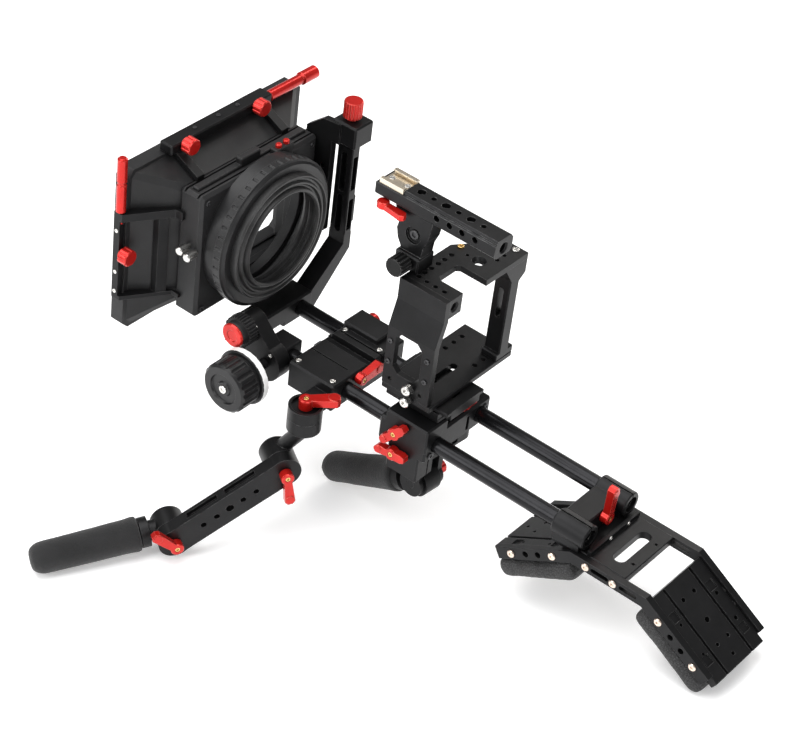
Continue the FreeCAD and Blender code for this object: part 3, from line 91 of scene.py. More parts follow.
def soft_box(name, place, aim, size, power, colour=(1, 1, 1)):
    data = bpy.data.lights.new(name, "AREA")
    data.shape = "RECTANGLE"
    data.size, data.size_y = size
    data.energy = power
    data.color = colour
    lamp = bpy.data.objects.new(name, data)
    lamp.location = place
    lamp.rotation_euler = (Vector(aim) - Vector(place)).to_track_quat("-Z", "Y").to_euler()
    scene.collection.objects.link(lamp)


soft_box("top_box", (-0.3, 0.3, 2.3), (0, 0, 0.1), (2.6, 2.2), 62)
soft_box("left_box", (-2.2, 0.9, 1.3), (0, 0, 0.2), (1.6, 1.6), 34)
soft_box("camera_box", (-0.9, -2.2, 1.7), (0, 0, 0.15), (1.4, 1.2), 26)
soft_box("right_strip", (2.1, 0.2, 1.2), (0, 0, 0.2), (0.5, 2.2), 22, (1.0, 0.97, 0.93))

world = bpy.data.worlds.new("studio")
world.use_nodes = True
ROOM_LIGHT = 0.28      # the room as the metal sees it; the camera sees plain white
backdrop = world.node_tree.nodes["Background"]
backdrop.inputs["Color"].default_value = (1, 1, 1, 1)
ray = world.node_tree.nodes.new("ShaderNodeLightPath")
level = world.node_tree.nodes.new("ShaderNodeMapRange")
level.inputs["To Min"].default_value = ROOM_LIGHT
level.inputs["To Max"].default_value = 1.0
world.node_tree.links.new(ray.outputs["Is Camera Ray"], level.inputs["Value"])
world.node_tree.links.new(level.outputs["Result"], backdrop.inputs["Strength"])
scene.world = world
scene.view_settings.view_transform = "Standard"

FLOOR_HALF = 12.0
FLOOR_GAP = 0.0004     # keeps the paper just under the lowest CAD face
PAPER_GLOW = 0.22
floor_mesh = bpy.data.meshes.new("floor")
floor_mesh.from_pydata([(-FLOOR_HALF, -FLOOR_HALF, 0), (FLOOR_HALF, -FLOOR_HALF, 0),
                        (FLOOR_HALF, FLOOR_HALF, 0),
                        (-FLOOR_HALF, FLOOR_HALF, 0)], [], [(0, 1, 2, 3)])
floor = bpy.data.objects.new("floor", floor_mesh)
floor.location.z = -FLOOR_GAP
scene.collection.objects.link(floor)


def node(tree, kind, inputs=None, **settings):
    """Adds a shader node; inputs maps an input's name or number to a socket or to a plain value."""
    made = tree.nodes.new("ShaderNode" + kind)
    for key, value in settings.items():
        setattr(made, key, value)
    for key, value in (inputs or {}).items():
        if isinstance(value, bpy.types.NodeSocket):
            tree.links.new(value, made.inputs[key])
        else:
            made.inputs[key].default_value = value
    return made


def shader_group(name, inputs, outputs):
    """An empty shader group with its named sockets, and its two end nodes."""
    group = bpy.data.node_groups.new(name, "ShaderNodeTree")
    for label, value in inputs:
        group.interface.new_socket(label, in_out="INPUT",
                                   socket_type="NodeSocketFloat").default_value = value
    for label, kind in outputs:
        group.interface.new_socket(label, in_out="OUTPUT", socket_type="NodeSocket" + kind)
    return group, group.nodes.new("NodeGroupInput"), group.nodes.new("NodeGroupOutput")


def ramp(tree, value, low, high, to_low=0.0, to_high=1.0):
    return node(tree, "MapRange", {"Value": value, "From Min": low, "From Max": high, "To Min": to_low,
                                   "To Max": to_high}).outputs["Result"]


def blank_material(name):
    made = bpy.data.materials.new(name)
    made.use_nodes = True
    tree = made.node_tree
    return made, tree, tree.nodes["Principled BSDF"], tree.nodes.new("ShaderNodeTexCoord").outputs["Object"]


paper, tree, shader, place = blank_material("white_paper")
fibre = node(tree, "TexNoise", {"Vector": place, "Scale": 900.0, "Detail": 2.0}).outputs["Fac"]
tint = node(tree, "Mix", {0: fibre, 6: (0.93, 0.93, 0.935, 1), 7: (0.97, 0.97, 0.97, 1)},
            data_type="RGBA")
tree.links.new(tint.outputs[2], shader.inputs["Base Color"])
tree.links.new(ramp(tree, fibre, 0, 1, 0.75, 0.9), shader.inputs["Roughness"])
shader.inputs["Emission Color"].default_value = (1, 1, 1, 1)
shader.inputs["Emission Strength"].default_value = PAPER_GLOW
floor_mesh.materials.append(paper)


# ---- rods
# Two 15 mm aluminium tubes, drawn, polished and satin black anodised, with tapped ends.  Clamps slide
# along them and leave faint rubbed lines.  Their edges are painted paler: partly a little bare metal, partly a
# painted highlight.
# Edge mask: sharp edges, broken up by noise patches, take a paler colour, which stands partly for rubbed bare
# metal and partly for a painted highlight.
edge_group, given, out = shader_group("worn_and_highlit_edges", [("Radius", 0.0006), ("Wear_and_highlight", 0.5)],
                                      [("Mask", "Float"), ("Normal", "Vector")])
flat = node(edge_group, "NewGeometry").outputs["Normal"]
rounded = node(edge_group, "Bevel", {"Radius": given.outputs["Radius"]}, samples=4).outputs["Normal"]
agree = node(edge_group, "VectorMath", {0: flat, 1: rounded}, operation="DOT_PRODUCT").outputs["Value"]
turn = ramp(edge_group, agree, 0.99, 0.80)
where = node(edge_group, "TexCoord").outputs["Object"]
patches = node(edge_group, "TexNoise", {"Vector": where, "Scale": 160.0, "Detail": 4.0}).outputs["Fac"]
worn_and_highlit = node(edge_group, "Math", {0: turn, 1: ramp(edge_group, patches, 0.30, 0.62)},
              operation="MULTIPLY")
mask = node(edge_group, "Math", {0: worn_and_highlit.outputs[0], 1: given.outputs["Wear_and_highlight"]}, operation="MULTIPLY")
edge_group.links.new(mask.outputs[0], out.inputs["Mask"])
edge_group.links.new(rounded, out.inputs["Normal"])

grain_group, given, out = shader_group("metal_grain", [("Scale", 1400.0), ("Stretch", 1.0)],
                                       [("Height", "Float"), ("Tone", "Float"), ("Rub", "Float")])
where = node(grain_group, "TexCoord").outputs["Object"]
squeeze = node(grain_group, "CombineXYZ", {"X": 1.0, "Y": given.outputs["Stretch"], "Z": 1.0}).outputs[0]
along = node(grain_group, "VectorMath", {0: where, 1: squeeze}, operation="MULTIPLY").outputs["Vector"]
fine = node(grain_group, "TexNoise", {"Vector": along, "Scale": given.outputs["Scale"], "Detail": 3.0})
broad = node(grain_group, "TexNoise", {"Vector": where, "Scale": 22.0, "Detail": 5.0, "Roughness": 0.6})
rubs = node(grain_group, "TexNoise", {"Vector": along, "Scale": 260.0, "Detail": 6.0, "Roughness": 0.7})
grain_group.links.new(fine.outputs["Fac"], out.inputs["Height"])
grain_group.links.new(ramp(grain_group, broad.outputs["Fac"], 0.3, 0.7), out.inputs["Tone"])
grain_group.links.new(ramp(grain_group, rubs.outputs["Fac"], 0.56, 0.72), out.inputs["Rub"])


def metal(name, colour, paler, roughness, metallic, edge_wear_and_highlight=0.5, grain=1400.0, depth=0.06, stretch=1.0,
          coat=0.0,
          radius=0.0006, spread=0.10, specular=0.35):
    """A coloured metal finish: nearly even colour, bead-blast grain and paler edges, partly rubbed bare metal and
    partly a painted highlight.
    """
    made, tree, shader, place = blank_material(name)
    edges = node(tree, "Group", node_tree=edge_group)
    edges.inputs["Radius"].default_value = radius
    edges.inputs["Wear_and_highlight"].default_value = edge_wear_and_highlight
    grains = node(tree, "Group", node_tree=grain_group)
    grains.inputs["Scale"].default_value = grain
    grains.inputs["Stretch"].default_value = stretch
    lighter = tuple(min(1.0, c * 1.6 + 0.004) for c in colour)
    body = node(tree, "Mix", {0: grains.outputs["Tone"], 6: (*colour, 1), 7: (*lighter, 1)},
                data_type="RGBA")
    # The edge mask mixes in the paler edge colour: partly wear, partly a painted highlight.
    skin = node(tree, "Mix", {0: edges.outputs["Mask"], 6: body.outputs[2], 7: (*paler, 1)},
                data_type="RGBA")
    tree.links.new(skin.outputs[2], shader.inputs["Base Color"])
    tree.links.new(ramp(tree, grains.outputs["Rub"], 0, 1, roughness, roughness - spread),
                   shader.inputs["Roughness"])
    bump = node(tree, "Bump", {"Strength": depth, "Distance": 0.0004, "Height": grains.outputs["Height"],
                               "Normal": edges.outputs["Normal"]})
    tree.links.new(bump.outputs["Normal"], shader.inputs["Normal"])
    shader.inputs["Metallic"].default_value = metallic
    shader.inputs["Specular IOR Level"].default_value = specular
    shader.inputs["Coat Weight"].default_value = coat
    shader.inputs["Coat Roughness"].default_value = 0.18
    return made


def finish(material, *names):
    """Gives CAD nodes a material in every slot that they have."""
    for name in names:
        mesh = frame["nodes"][name].data
        if not mesh.materials:
            mesh.materials.append(material)
        for index in range(len(mesh.materials)):
            mesh.materials[index] = material


rod_black = metal("rod_satin_black", (0.010, 0.010, 0.011), (0.30, 0.29, 0.28), 0.22, 0.75, edge_wear_and_highlight=0.35,
                  grain=900.0,
                  stretch=0.05, depth=0.05, radius=0.0008)
finish(rod_black, "rod_left", "rod_right")


# ---- shoulder mount
# Bent side rails, a cross bridge, two grooved adapter plates and a rod clamp, all milled aluminium,
# bead blasted and matt black anodised.  Bright ringed screws hold the rails to the cross pieces.
black_anodised = metal("black_anodised", (0.006, 0.006, 0.0065), (0.16, 0.16, 0.16), 0.42, 0.55,
                       edge_wear_and_highlight=0.45)
# A touch paler copy of black_anodised, used only on the upward-facing pad plates and cage top: painted top light.
top_lit_black = metal("top_lit_black", (0.008, 0.008, 0.0085), (0.18, 0.18, 0.18), 0.42, 0.55, edge_wear_and_highlight=0.5,
                    grain=1100.0)
steel = metal("bright_screw_steel", (0.55, 0.54, 0.52), (0.85, 0.85, 0.85), 0.26, 1.0, edge_wear_and_highlight=0.6,
              radius=0.0003)
dark_steel = metal("dark_screw_steel", (0.05, 0.05, 0.052), (0.35, 0.35, 0.35), 0.34, 0.9, edge_wear_and_highlight=0.6,
                   radius=0.0003)
brass = metal("brass", (0.62, 0.42, 0.16), (0.85, 0.68, 0.38), 0.24, 1.0, edge_wear_and_highlight=0.5, radius=0.0003)
copper_ring = metal("copper_ring_steel", (0.60, 0.50, 0.43), (0.80, 0.66, 0.52), 0.28, 1.0, edge_wear_and_highlight=0.7,
                    radius=0.0004)
finish(black_anodised, "shoulder_clamp", "shoulder_rails", "shoulder_bridge")
finish(top_lit_black, "pad_plates")
finish(copper_ring, "shoulder_screws")
RING_POINTS = 24


def hexagon(radius, turn=0.0):
    """A hexagon's outline sampled at the same angles as a round ring."""
    points = []
    for i in range(RING_POINTS):
        a = 2 * math.pi * i / RING_POINTS
        r = radius * math.cos(math.pi / 6) / math.cos((a + turn) % (math.pi / 3) - math.pi / 6)
        points.append((r * math.cos(a), r * math.sin(a)))
    return points


def circle(radius):
    return [(radius * math.cos(2 * math.pi * i / RING_POINTS),
             radius * math.sin(2 * math.pi * i / RING_POINTS))
            for i in range(RING_POINTS)]


def ring_mesh(name, rings):
    """A closed mesh through a stack of (outline, height) rings, in metres."""
    mesh = bpy.data.meshes.new(name)
    bm = bmesh.new()
    loops = [[bm.verts.new((x, y, z)) for x, y in outline] for outline, z in rings]
    for low, high in zip(loops, loops[1:]):
        for i in range(len(low)):
            j = (i + 1) % len(low)
            bm.faces.new((low[i], low[j], high[j], high[i]))
    bm.faces.new(loops[0][::-1])
    bm.faces.new(loops[-1])
    bmesh.ops.recalc_face_normals(bm, faces=bm.faces)
    bm.to_mesh(mesh)
    bm.free()
    return mesh


def stand(mesh, name, body, at, axis, material):
    """Sets a mesh, drawn along +Z from the origin, on a point and rides it on a body."""
    made = bpy.data.objects.new(name, mesh)
    made.matrix_world = Matrix.Translation(at) @ Vector((0, 0,
                                                         1)).rotation_difference(axis).to_matrix().to_4x4()
    scene.collection.objects.link(made)
    mesh.materials.append(material)
    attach(made, body)
    return made


def socket_screw(name, body, at, axis, radius, height, material=steel, sink=0.0):
    """A round-headed screw with a hexagon socket, its head standing on a point; sizes in mm."""
    r, h = radius * MM, height * MM
    c = min(0.25 * r, 0.3 * h)
    rings = [(circle(r * 0.96), 0), (circle(r), 0.1 * h), (circle(r), h - c),
             (circle(r - 0.4 * c), h - 0.3 * c),
             (circle(r - c), h), (circle(r * 0.62), h), (hexagon(r * 0.56),
                                                         h - 0.06 * h), (hexagon(r * 0.54), h * 0.35)]
    return stand(ring_mesh(name, rings), name, body, at - axis * sink * MM, axis, material)


BRIDGE_LIP_Y, BRIDGE_LIP_Z = -40.0, -10.0      # rear face of the lip that stands across the bridge
for i, x in enumerate((18.7, -7.6)):
    socket_screw(f"bridge_screw_{i + 1}", "shoulder", rig(x, BRIDGE_LIP_Y, BRIDGE_LIP_Z), way(0, -1, 0),
                 2.2, 0.9, steel)


# ---- shoulder pads
# Two thick foam blocks skinned in black grained leatherette, glued under the adapter plates.  The
# foam swells the skin between its edges, and the corners are soft; the top lies flat on its plate.
leather_group, given, out = shader_group("leather_grain", [("Scale", 430.0)],
                                         [("Height", "Float"), ("Crease", "Float")])
where = node(leather_group, "TexCoord").outputs["Object"]
shove = node(leather_group, "TexNoise", {"Vector": where, "Scale": 300.0, "Detail": 2.0}).outputs["Color"]
bent = node(leather_group, "Mix", {0: 0.0022, 4: where, 5: shove}, data_type="VECTOR").outputs[1]
cells = node(leather_group, "TexVoronoi", {"Vector": bent, "Scale": given.outputs["Scale"]},
             feature="DISTANCE_TO_EDGE")
pebble = ramp(leather_group, cells.outputs["Distance"], 0.0, 0.22)
pores = node(leather_group, "TexNoise", {"Vector": where, "Scale": 1900.0, "Detail": 3.0}).outputs["Fac"]
height = node(leather_group, "Math", {0: pores, 1: 0.25, 2: pebble}, operation="MULTIPLY_ADD").outputs[0]
leather_group.links.new(height, out.inputs["Height"])
leather_group.links.new(pebble, out.inputs["Crease"])

leatherette, tree, shader, place = blank_material("grained_leatherette")
hide = node(tree, "Group", node_tree=leather_group)
paler = node(tree, "TexNoise", {"Vector": place, "Scale": 45.0, "Detail": 5.0}).outputs["Fac"]
# The grooves between the pebbles take the darker colour and the pebble tops the paler one: painted shade in the
# grooves.
base = node(tree, "Mix", {0: hide.outputs["Crease"], 6: (0.006, 0.006, 0.006, 1),
                          7: (0.021, 0.021, 0.022, 1)},
            data_type="RGBA")
aged = node(tree, "Mix", {0: ramp(tree, paler, 0.5, 0.75, 0.0, 0.5), 6: base.outputs[2],
                          7: (0.034, 0.033, 0.033, 1)},
            data_type="RGBA")
tree.links.new(aged.outputs[2], shader.inputs["Base Color"])
tree.links.new(ramp(tree, hide.outputs["Crease"], 0, 1, 0.72, 0.50), shader.inputs["Roughness"])
bump = node(tree, "Bump", {"Strength": 0.75, "Distance": 0.0007, "Height": hide.outputs["Height"]})
tree.links.new(bump.outputs["Normal"], shader.inputs["Normal"])


CLOTH_FRAMES = 15
CLOTH_STIFFNESS = 40.0


def swollen(name, node_name, voxel, inset, cap, pressure=4.0):
    """A soft copy of a CAD solid: drawn in a little, remeshed, blown up as cloth, and held near its shape."""
    source = frame["nodes"][node_name].data
    made = bpy.data.objects.new(name, source.copy())
    made.data.name = name
    made.data.materials.clear()
    scene.collection.objects.link(made)
    bpy.ops.object.select_all(action="DESELECT")
    made.select_set(True)
    bpy.context.view_layer.objects.active = made
    bm = bmesh.new()
    bm.from_mesh(made.data)
    bmesh.ops.remove_doubles(bm, verts=bm.verts, dist=1e-5)
    bmesh.ops.recalc_face_normals(bm, faces=bm.faces)
    bm.normal_update()
    for v in bm.verts:
        v.co -= v.normal * inset
    bm.to_mesh(made.data)
    bm.free()
    remesh = made.modifiers.new("remesh", "REMESH")
    remesh.mode = "VOXEL"
    remesh.voxel_size = voxel
    bpy.ops.object.modifier_apply(modifier="remesh")
    smooth = made.modifiers.new("smooth", "SMOOTH")
    smooth.factor = 0.5
    smooth.iterations = 5
    bpy.ops.object.modifier_apply(modifier="smooth")
    start = [v.co.copy() for v in made.data.vertices]
    cloth = made.modifiers.new("cloth", "CLOTH")
    cloth.settings.use_pressure = True
    cloth.settings.uniform_pressure_force = pressure
    cloth.settings.effector_weights.gravity = 0.0
    cloth.settings.quality = 6
    cloth.settings.tension_stiffness = CLOTH_STIFFNESS
    cloth.settings.compression_stiffness = CLOTH_STIFFNESS
    for step in range(1, CLOTH_FRAMES + 1):
        scene.frame_set(step)
    seen = made.evaluated_get(bpy.context.evaluated_depsgraph_get())
    blown = [v.co.copy() for v in seen.data.vertices]
    made.modifiers.remove(cloth)
    scene.frame_set(1)
    for v, a, b in zip(made.data.vertices, start, blown):
        move = b - a
        v.co = a + (move if move.length < cap else move.normalized() * cap)
    return made


def subdivided(made):
    divide = made.modifiers.new("divide", "SUBSURF")
    divide.levels = divide.render_levels = 1
    bpy.context.view_layer.objects.active = made
    bpy.ops.object.modifier_apply(modifier="divide")
    for face in made.data.polygons:
        face.use_smooth = True


GLUE_GAP = 0.0003      # the skin stays this far under its plate
PAD_FLOOR = 0.0004
for end in ("front", "rear"):
    cad = frame["nodes"][f"{end}_pad"].data
    top = max((p for p in cad.polygons if p.normal.z > 0.6), key=lambda p: p.area)
    seat, facing = cad.vertices[top.vertices[0]].co.copy(), top.normal.copy()
    pad = swollen(f"{end}_pad_skin", f"{end}_pad", 0.0040, 0.0006, 0.0024)
    for v in pad.data.vertices:
        over = (v.co - seat).dot(facing) + GLUE_GAP
        if over > 0:
            v.co -= facing * over
        v.co.z = max(v.co.z, PAD_FLOOR)
    subdivided(pad)
    pad.data.materials.append(leatherette)
    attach(pad, "shoulder")
    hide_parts(f"{end}_pad")


# ---- base clamp, quick release and their red levers
# A milled double rod clamp with a dovetail receiver and its sliding plate.  Red anodised clamp levers
# turn on brass screws; two bright thumb screws stop the plate.
red = metal("red_anodised", (0.42, 0.008, 0.005), (0.90, 0.30, 0.24), 0.24, 0.50, edge_wear_and_highlight=0.55, grain=700.0,
            depth=0.03,
            coat=0.2, radius=0.0009, spread=0.06)
finish(black_anodised, "base_clamp", "qr_base", "qr_plate")
finish(red, "base_lever_upper", "base_lever_lower", "rod_lever", "shoulder_lever")
finish(steel, "qr_stop_screws")
joints = {j["name"]: j for j in frame["joints"]}


def lever_screw(name, joint, height, radius=2.5, material=brass, flip=1):
    """The screw in a lever's hub: it stands on the joint's axis, at a height in mm over the hub's foot."""
    j = joints[joint]
    axis = Vector(j["axis"]).normalized() * flip
    at = Vector(j["pos_m"]) + axis * height * MM
    return socket_screw(name, j["child"], at, axis, radius, 1.7, material)


HUB_SOCKET = 6.0     # floor of the socket in an 8 mm hub
lever_screw("shoulder_lever_screw", "shoulder_lever_turn", HUB_SOCKET)
lever_screw("base_lever_upper_screw", "base_lever_upper_turn", HUB_SOCKET)
lever_screw("base_lever_lower_screw", "base_lever_lower_turn", HUB_SOCKET)
QR_RECEIVER_TOP = 31.5
for i, y in enumerate((153.0, 176.0)):
    socket_screw(f"receiver_screw_{i + 1}", "base", rig(-27.6, y, QR_RECEIVER_TOP - 0.2), UP, 1.9, 1.0,
                 dark_steel)
for i, x in enumerate((-38.0, 38.0)):
    socket_screw(f"base_rear_screw_{i + 1}", "base", rig(x, 132.0, 4.0 if x > 0 else -8.0), way(0, -1, 0),
                 3.0, 1.6, dark_steel)


# ---- camera cage
# Four milled plates screwed into an open frame: floor, leaning left cheek, top with its rows of
# tapped holes, and a slotted right leg.  One brass and several dark screws show at the corners.
finish(black_anodised, "cage_bottom", "cage_left_side", "cage_right_side")
finish(top_lit_black, "cage_top")
CAGE_TOP = 149.0
socket_screw("cage_front_screw", "camera_plate", rig(39.8, 183.0, CAGE_TOP), UP, 3.0, 1.5, brass)
socket_screw("cage_corner_screw", "camera_plate", rig(71.0, 147.5, CAGE_TOP), UP, 3.2, 1.6, steel)
CHEEK_X = -40.0
for i, (y, z) in enumerate(((147.0, 88.0), (187.0, 88.0), (147.0, 66.0), (187.0, 66.0))):
    socket_screw(f"cheek_screw_{i + 1}", "camera_plate", rig(CHEEK_X, y, z), way(-1, 0, 0), 2.4, 1.2,
                 dark_steel)


# ---- top handle
# A long milled bar with tapped holes on a waisted post, clamped to the cage by a black knurled knob.
# A champagne-coloured accessory shoe is let into the bar's front, over a small red lever.
# The handle's edges get a paler colour and a stronger edge mask than most black parts: partly wear, partly a
# painted highlight.
handle_black = metal("handle_black", (0.007, 0.007, 0.0075), (0.30, 0.30, 0.30), 0.38, 0.6, edge_wear_and_highlight=0.6,
                     radius=0.0007)
knurled_black = metal("knurled_black", (0.006, 0.006, 0.006), (0.24, 0.24, 0.24), 0.36, 0.6, edge_wear_and_highlight=0.8,
                      grain=500.0,
                      depth=0.2)
champagne = metal("champagne_shoe", (0.52, 0.46, 0.37), (0.86, 0.82, 0.74), 0.28, 0.95, edge_wear_and_highlight=0.5,
                  radius=0.0005)
finish(handle_black, "handle_bar", "handle_post")
finish(knurled_black, "handle_knob")
finish(champagne, "cold_shoe")
finish(red, "handle_lever")
lever_screw("handle_lever_screw", "handle_lever_turn", 4.5, flip=-1)
BAR_MIDDLE = -8.5
for i, y in enumerate((212.0, 228.5)):
    socket_screw(f"shoe_screw_{i + 1}", "camera_plate", rig(BAR_MIDDLE, y, 219.0), UP, 2.8, 0.8, steel)
for side in (-1, 1):
    face = BAR_MIDDLE + side * 5.0
    socket_screw(f"post_screw_{'left' if side < 0 else 'right'}", "camera_plate", rig(face, 194.5, 182.0),
                 way(side, 0, 0), 4.6, 2.0, dark_steel)


# ---- right hand grip
# A slotted hanger under the base clamp carries a wrist joint and a grip of soft black foam pushed
# over its tube, with a thick collar at the wrist and a blunt tapered tip.
foam_group, given, out = shader_group("foam_cells", [("Scale", 1500.0)],
                                      [("Height", "Float"), ("Pit_shade", "Float")])
where = node(foam_group, "TexCoord").outputs["Object"]
pits = node(foam_group, "TexVoronoi", {"Vector": where,
                                       "Scale": given.outputs["Scale"]}).outputs["Distance"]
lumps = node(foam_group, "TexNoise", {"Vector": where, "Scale": 420.0, "Detail": 5.0,
                                      "Roughness": 0.65}).outputs["Fac"]
height = node(foam_group, "Math", {0: pits, 1: 0.5, 2: lumps}, operation="MULTIPLY_ADD").outputs[0]
foam_group.links.new(height, out.inputs["Height"])
foam_group.links.new(ramp(foam_group, pits, 0.1, 0.6), out.inputs["Pit_shade"])

foam, tree, shader, place = blank_material("black_foam")
cells = node(tree, "Group", node_tree=foam_group)
handled = node(tree, "TexNoise", {"Vector": place, "Scale": 30.0, "Detail": 4.0}).outputs["Fac"]
# The pits of the foam cells take the darker colour: painted shade in the pits.
base = node(tree, "Mix", {0: cells.outputs["Pit_shade"], 6: (0.004, 0.004, 0.004, 1),
                          7: (0.013, 0.013, 0.0135, 1)},
            data_type="RGBA")
dusty = node(tree, "Mix", {0: ramp(tree, handled, 0.45, 0.75, 0.0, 0.6), 6: base.outputs[2],
                           7: (0.02, 0.02, 0.021, 1)},
             data_type="RGBA")
tree.links.new(dusty.outputs[2], shader.inputs["Base Color"])
tree.links.new(ramp(tree, handled, 0, 1, 0.98, 0.84), shader.inputs["Roughness"])
bump = node(tree, "Bump", {"Strength": 0.8, "Distance": 0.0005, "Height": cells.outputs["Height"]})
tree.links.new(bump.outputs["Normal"], shader.inputs["Normal"])
shader.inputs["Specular IOR Level"].default_value = 0.25
shader.inputs["Sheen Weight"].default_value = 0.15
shader.inputs["Sheen Roughness"].default_value = 0.6


def foam_grip(side):
    grip = swollen(f"{side}_grip_sleeve", f"{side}_grip_foam", 0.0026, 0.0003, 0.0009, 3.0)
    for v in grip.data.vertices:
        v.co += v.normal * 0.00035 * noise.noise(v.co * 60.0)
        v.co.z = max(v.co.z, 0.0006)
    subdivided(grip)
    grip.data.materials.append(foam)
    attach(grip, f"{side}_grip")
    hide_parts(f"{side}_grip_foam")


foam_grip("right")
finish(black_anodised, "hanger_arm", "right_grip_core")
finish(red, "right_grip_knob")


# ---- front clamp
# A double rod clamp that carries the left handle's seat, closed by two red levers on brass screws.
finish(black_anodised, "front_clamp")
finish(red, "front_clamp_lever", "front_clamp_barrel")
lever_screw("front_clamp_lever_screw", "front_clamp_lever_turn", HUB_SOCKET)
lever_screw("front_clamp_barrel_screw", "front_clamp_barrel_turn", HUB_SOCKET)
FRONT_TOP = 13.0
for i, (x, y) in enumerate(((-44, 240), (-44, 280), (20.5, 240), (20.5, 280))):
    socket_screw(f"front_clamp_screw_{i + 1}", "front_mount", rig(x, y, FRONT_TOP), UP, 2.6, 1.5, steel)


# ---- left handle
# A cup-shaped swivel, a drilled and slotted flat arm and a foam grip, joined by round eyes that
# each lock with a red lever on a brass screw.
left_metal = metal("handle_arm_black", (0.009, 0.009, 0.0095), (0.24, 0.24, 0.24), 0.40, 0.6, edge_wear_and_highlight=0.5,
                   radius=0.0008)
finish(left_metal, "left_swivel", "left_arm", "left_grip_core")
finish(red, "left_swivel_lever", "left_elbow_lever", "left_wrist_lever")
foam_grip("left")
lever_screw("left_swivel_lever_screw", "left_swivel_lever_turn", 9.0)
lever_screw("left_elbow_lever_screw", "left_elbow_lever_turn", 7.0)
lever_screw("left_wrist_lever_screw", "left_wrist_lever_turn", 7.0)


# ---- follow focus
# A small gearbox clamped to the left rod turns a toothed drive wheel from a big ribbed hand wheel.
# Its marking collar is white plastic, and a red cap locks the drive wheel.
focus_black = metal("focus_satin_black", (0.007, 0.007, 0.0075), (0.12, 0.12, 0.12), 0.34, 0.15, edge_wear_and_highlight=0.5,
                    grain=800.0)
gear_black = metal("gear_plastic", (0.008, 0.008, 0.0085), (0.08, 0.08, 0.08), 0.5, 0.0, edge_wear_and_highlight=0.6,
                   grain=600.0)
finish(black_anodised, "focus_body")
finish(focus_black, "focus_knob")
finish(gear_black, "focus_gear")
marking_white = metal("marking_white", (0.70, 0.70, 0.68), (0.90, 0.90, 0.90), 0.40, 0.0, edge_wear_and_highlight=0.2,
                      radius=0.0004,
                      specular=0.5)
focus_axis = way(-1, 0, 0)
AXLE_Y, AXLE_Z = 310.0, -1.0
COLLAR_FACE, COLLAR_R, COLLAR_WIDTH = -77.8, 26.8, 6.4
marking_ring = [(circle((COLLAR_R - 0.5) * MM), 0), (circle(COLLAR_R * MM), 0.5 * MM),
                (circle(COLLAR_R * MM), (COLLAR_WIDTH - 0.5) * MM), (circle((COLLAR_R - 0.5) * MM),
                                                                     COLLAR_WIDTH * MM)]
stand(ring_mesh("marking_collar", marking_ring), "marking_collar", "focus_knob",
      rig(COLLAR_FACE, AXLE_Y, AXLE_Z), focus_axis, marking_white)
WHEEL_HUB = -107.9
socket_screw("focus_wheel_screw", "focus_knob", rig(WHEEL_HUB, AXLE_Y, AXLE_Z), focus_axis, 4.0, 1.6,
             steel)
GEAR_FACE = -72.0
gear_cap = [(circle(11.4 * MM), 0), (circle(11.8 * MM), 0.4 * MM), (circle(11.8 * MM), 1.6 * MM),
            (circle(10.6 * MM), 2.4 * MM), (circle(6.0 * MM), 2.4 * MM), (circle(5.4 * MM), 1.6 * MM),
            (circle(3.0 * MM), 1.6 * MM)]
stand(ring_mesh("drive_gear_cap", gear_cap), "drive_gear_cap", "focus_gear", rig(GEAR_FACE, 333.0, 27.0),
      focus_axis,
      red)
for i, (y, z) in enumerate(((303.0, 11.5), (317.0, -14.0), (322.0, 33.0))):
    socket_screw(f"gearbox_screw_{i + 1}", "focus_unit", rig(-55.0, y, z), focus_axis, 1.8, 1.0, steel)


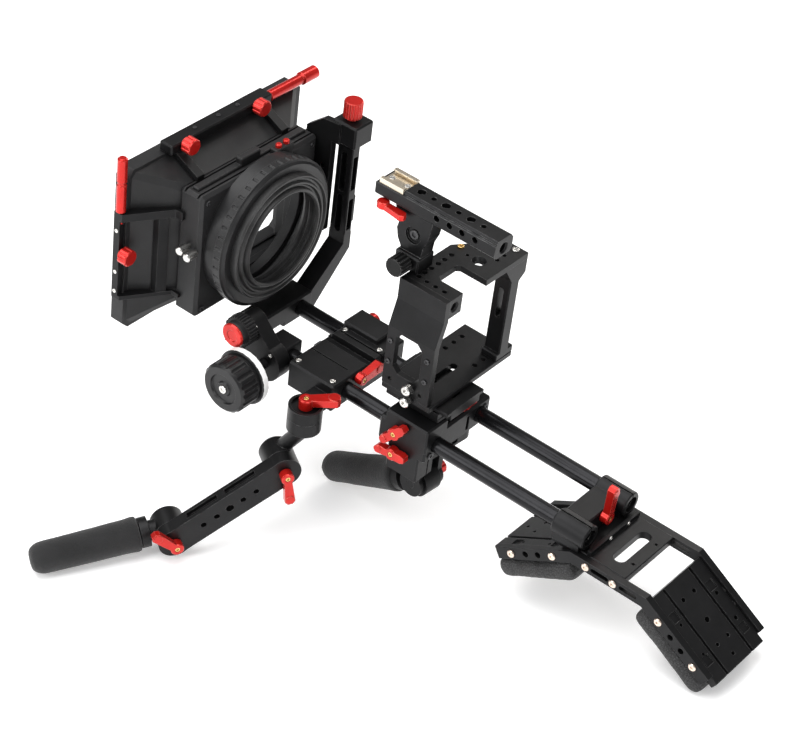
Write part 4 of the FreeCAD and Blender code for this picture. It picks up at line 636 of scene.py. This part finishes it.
# ---- matte box
# A moulded funnel hood with a deep rim on a filter housing, held by a swing-away post from the rods.
# A ribbed clamp ring on the back holds a stepped rubber donut that seals round the lens.
hood_black = metal("hood_plastic", (0.006, 0.006, 0.0065), (0.10, 0.10, 0.10), 0.52, 0.0, edge_wear_and_highlight=0.5,
                   grain=1000.0,
                   depth=0.12, radius=0.0010)
ring_black = metal("ring_plastic", (0.006, 0.006, 0.0065), (0.16, 0.16, 0.16), 0.40, 0.1, edge_wear_and_highlight=0.8,
                   grain=900.0)
finish(hood_black, "hood", "filter_stage", "filter_tray")
finish(ring_black, "clamp_ring")
finish(black_anodised, "top_flag_bracket", "side_flag_bracket", "swing_plate", "swing_post")
finish(red, "top_flag_knob_left", "top_flag_knob_right", "top_flag_pin", "side_flag_knob",
       "side_flag_pin",
       "swing_knob", "tray_buttons")
finish(steel, "stage_pins")

rubber, tree, shader, place = blank_material("soft_rubber")
dust = node(tree, "TexNoise", {"Vector": place, "Scale": 70.0, "Detail": 6.0,
                               "Roughness": 0.7}).outputs["Fac"]
skin = node(tree, "TexNoise", {"Vector": place, "Scale": 1200.0, "Detail": 2.0}).outputs["Fac"]
base = node(tree, "Mix", {0: ramp(tree, dust, 0.45, 0.7), 6: (0.010, 0.010, 0.010, 1),
                          7: (0.022, 0.022, 0.023, 1)},
            data_type="RGBA")
tree.links.new(base.outputs[2], shader.inputs["Base Color"])
tree.links.new(ramp(tree, dust, 0, 1, 0.34, 0.58), shader.inputs["Roughness"])
bump = node(tree, "Bump", {"Strength": 0.15, "Distance": 0.0003, "Height": skin})
tree.links.new(bump.outputs["Normal"], shader.inputs["Normal"])
finish(rubber, "donut")

STAGE_REAR = 376.0
for i, (x, z) in enumerate(((-68, 30), (68, 30), (-68, 144), (68, 144))):
    socket_screw(f"stage_screw_{i + 1}", "matte_box", rig(x, STAGE_REAR, z), way(0, -1, 0), 2.6, 1.3,
                 dark_steel)
for i, (y, z) in enumerate(((368.0, 70.0), (368.0, 96.0), (368.0, 122.0), (388.0, 60.0), (388.0, 130.0))):
    socket_screw(f"swing_plate_screw_{i + 1}", "matte_box", rig(83.0, y, z), way(1, 0, 0), 3.4, 1.6,
                 steel)
for i, z in enumerate((45.0, 66.0, 110.0)):
    socket_screw(f"side_flag_screw_{i + 1}", "matte_box", rig(-120.0, 433.0, z), way(-1, 0, 0), 2.0, 1.0,
                 steel)
for i, x in enumerate((-30.0, 0.0, 25.0)):
    socket_screw(f"top_flag_screw_{i + 1}", "matte_box", rig(x, 430.0, 178.5), UP, 2.0, 1.0, dark_steel)

scene.frame_set(1)
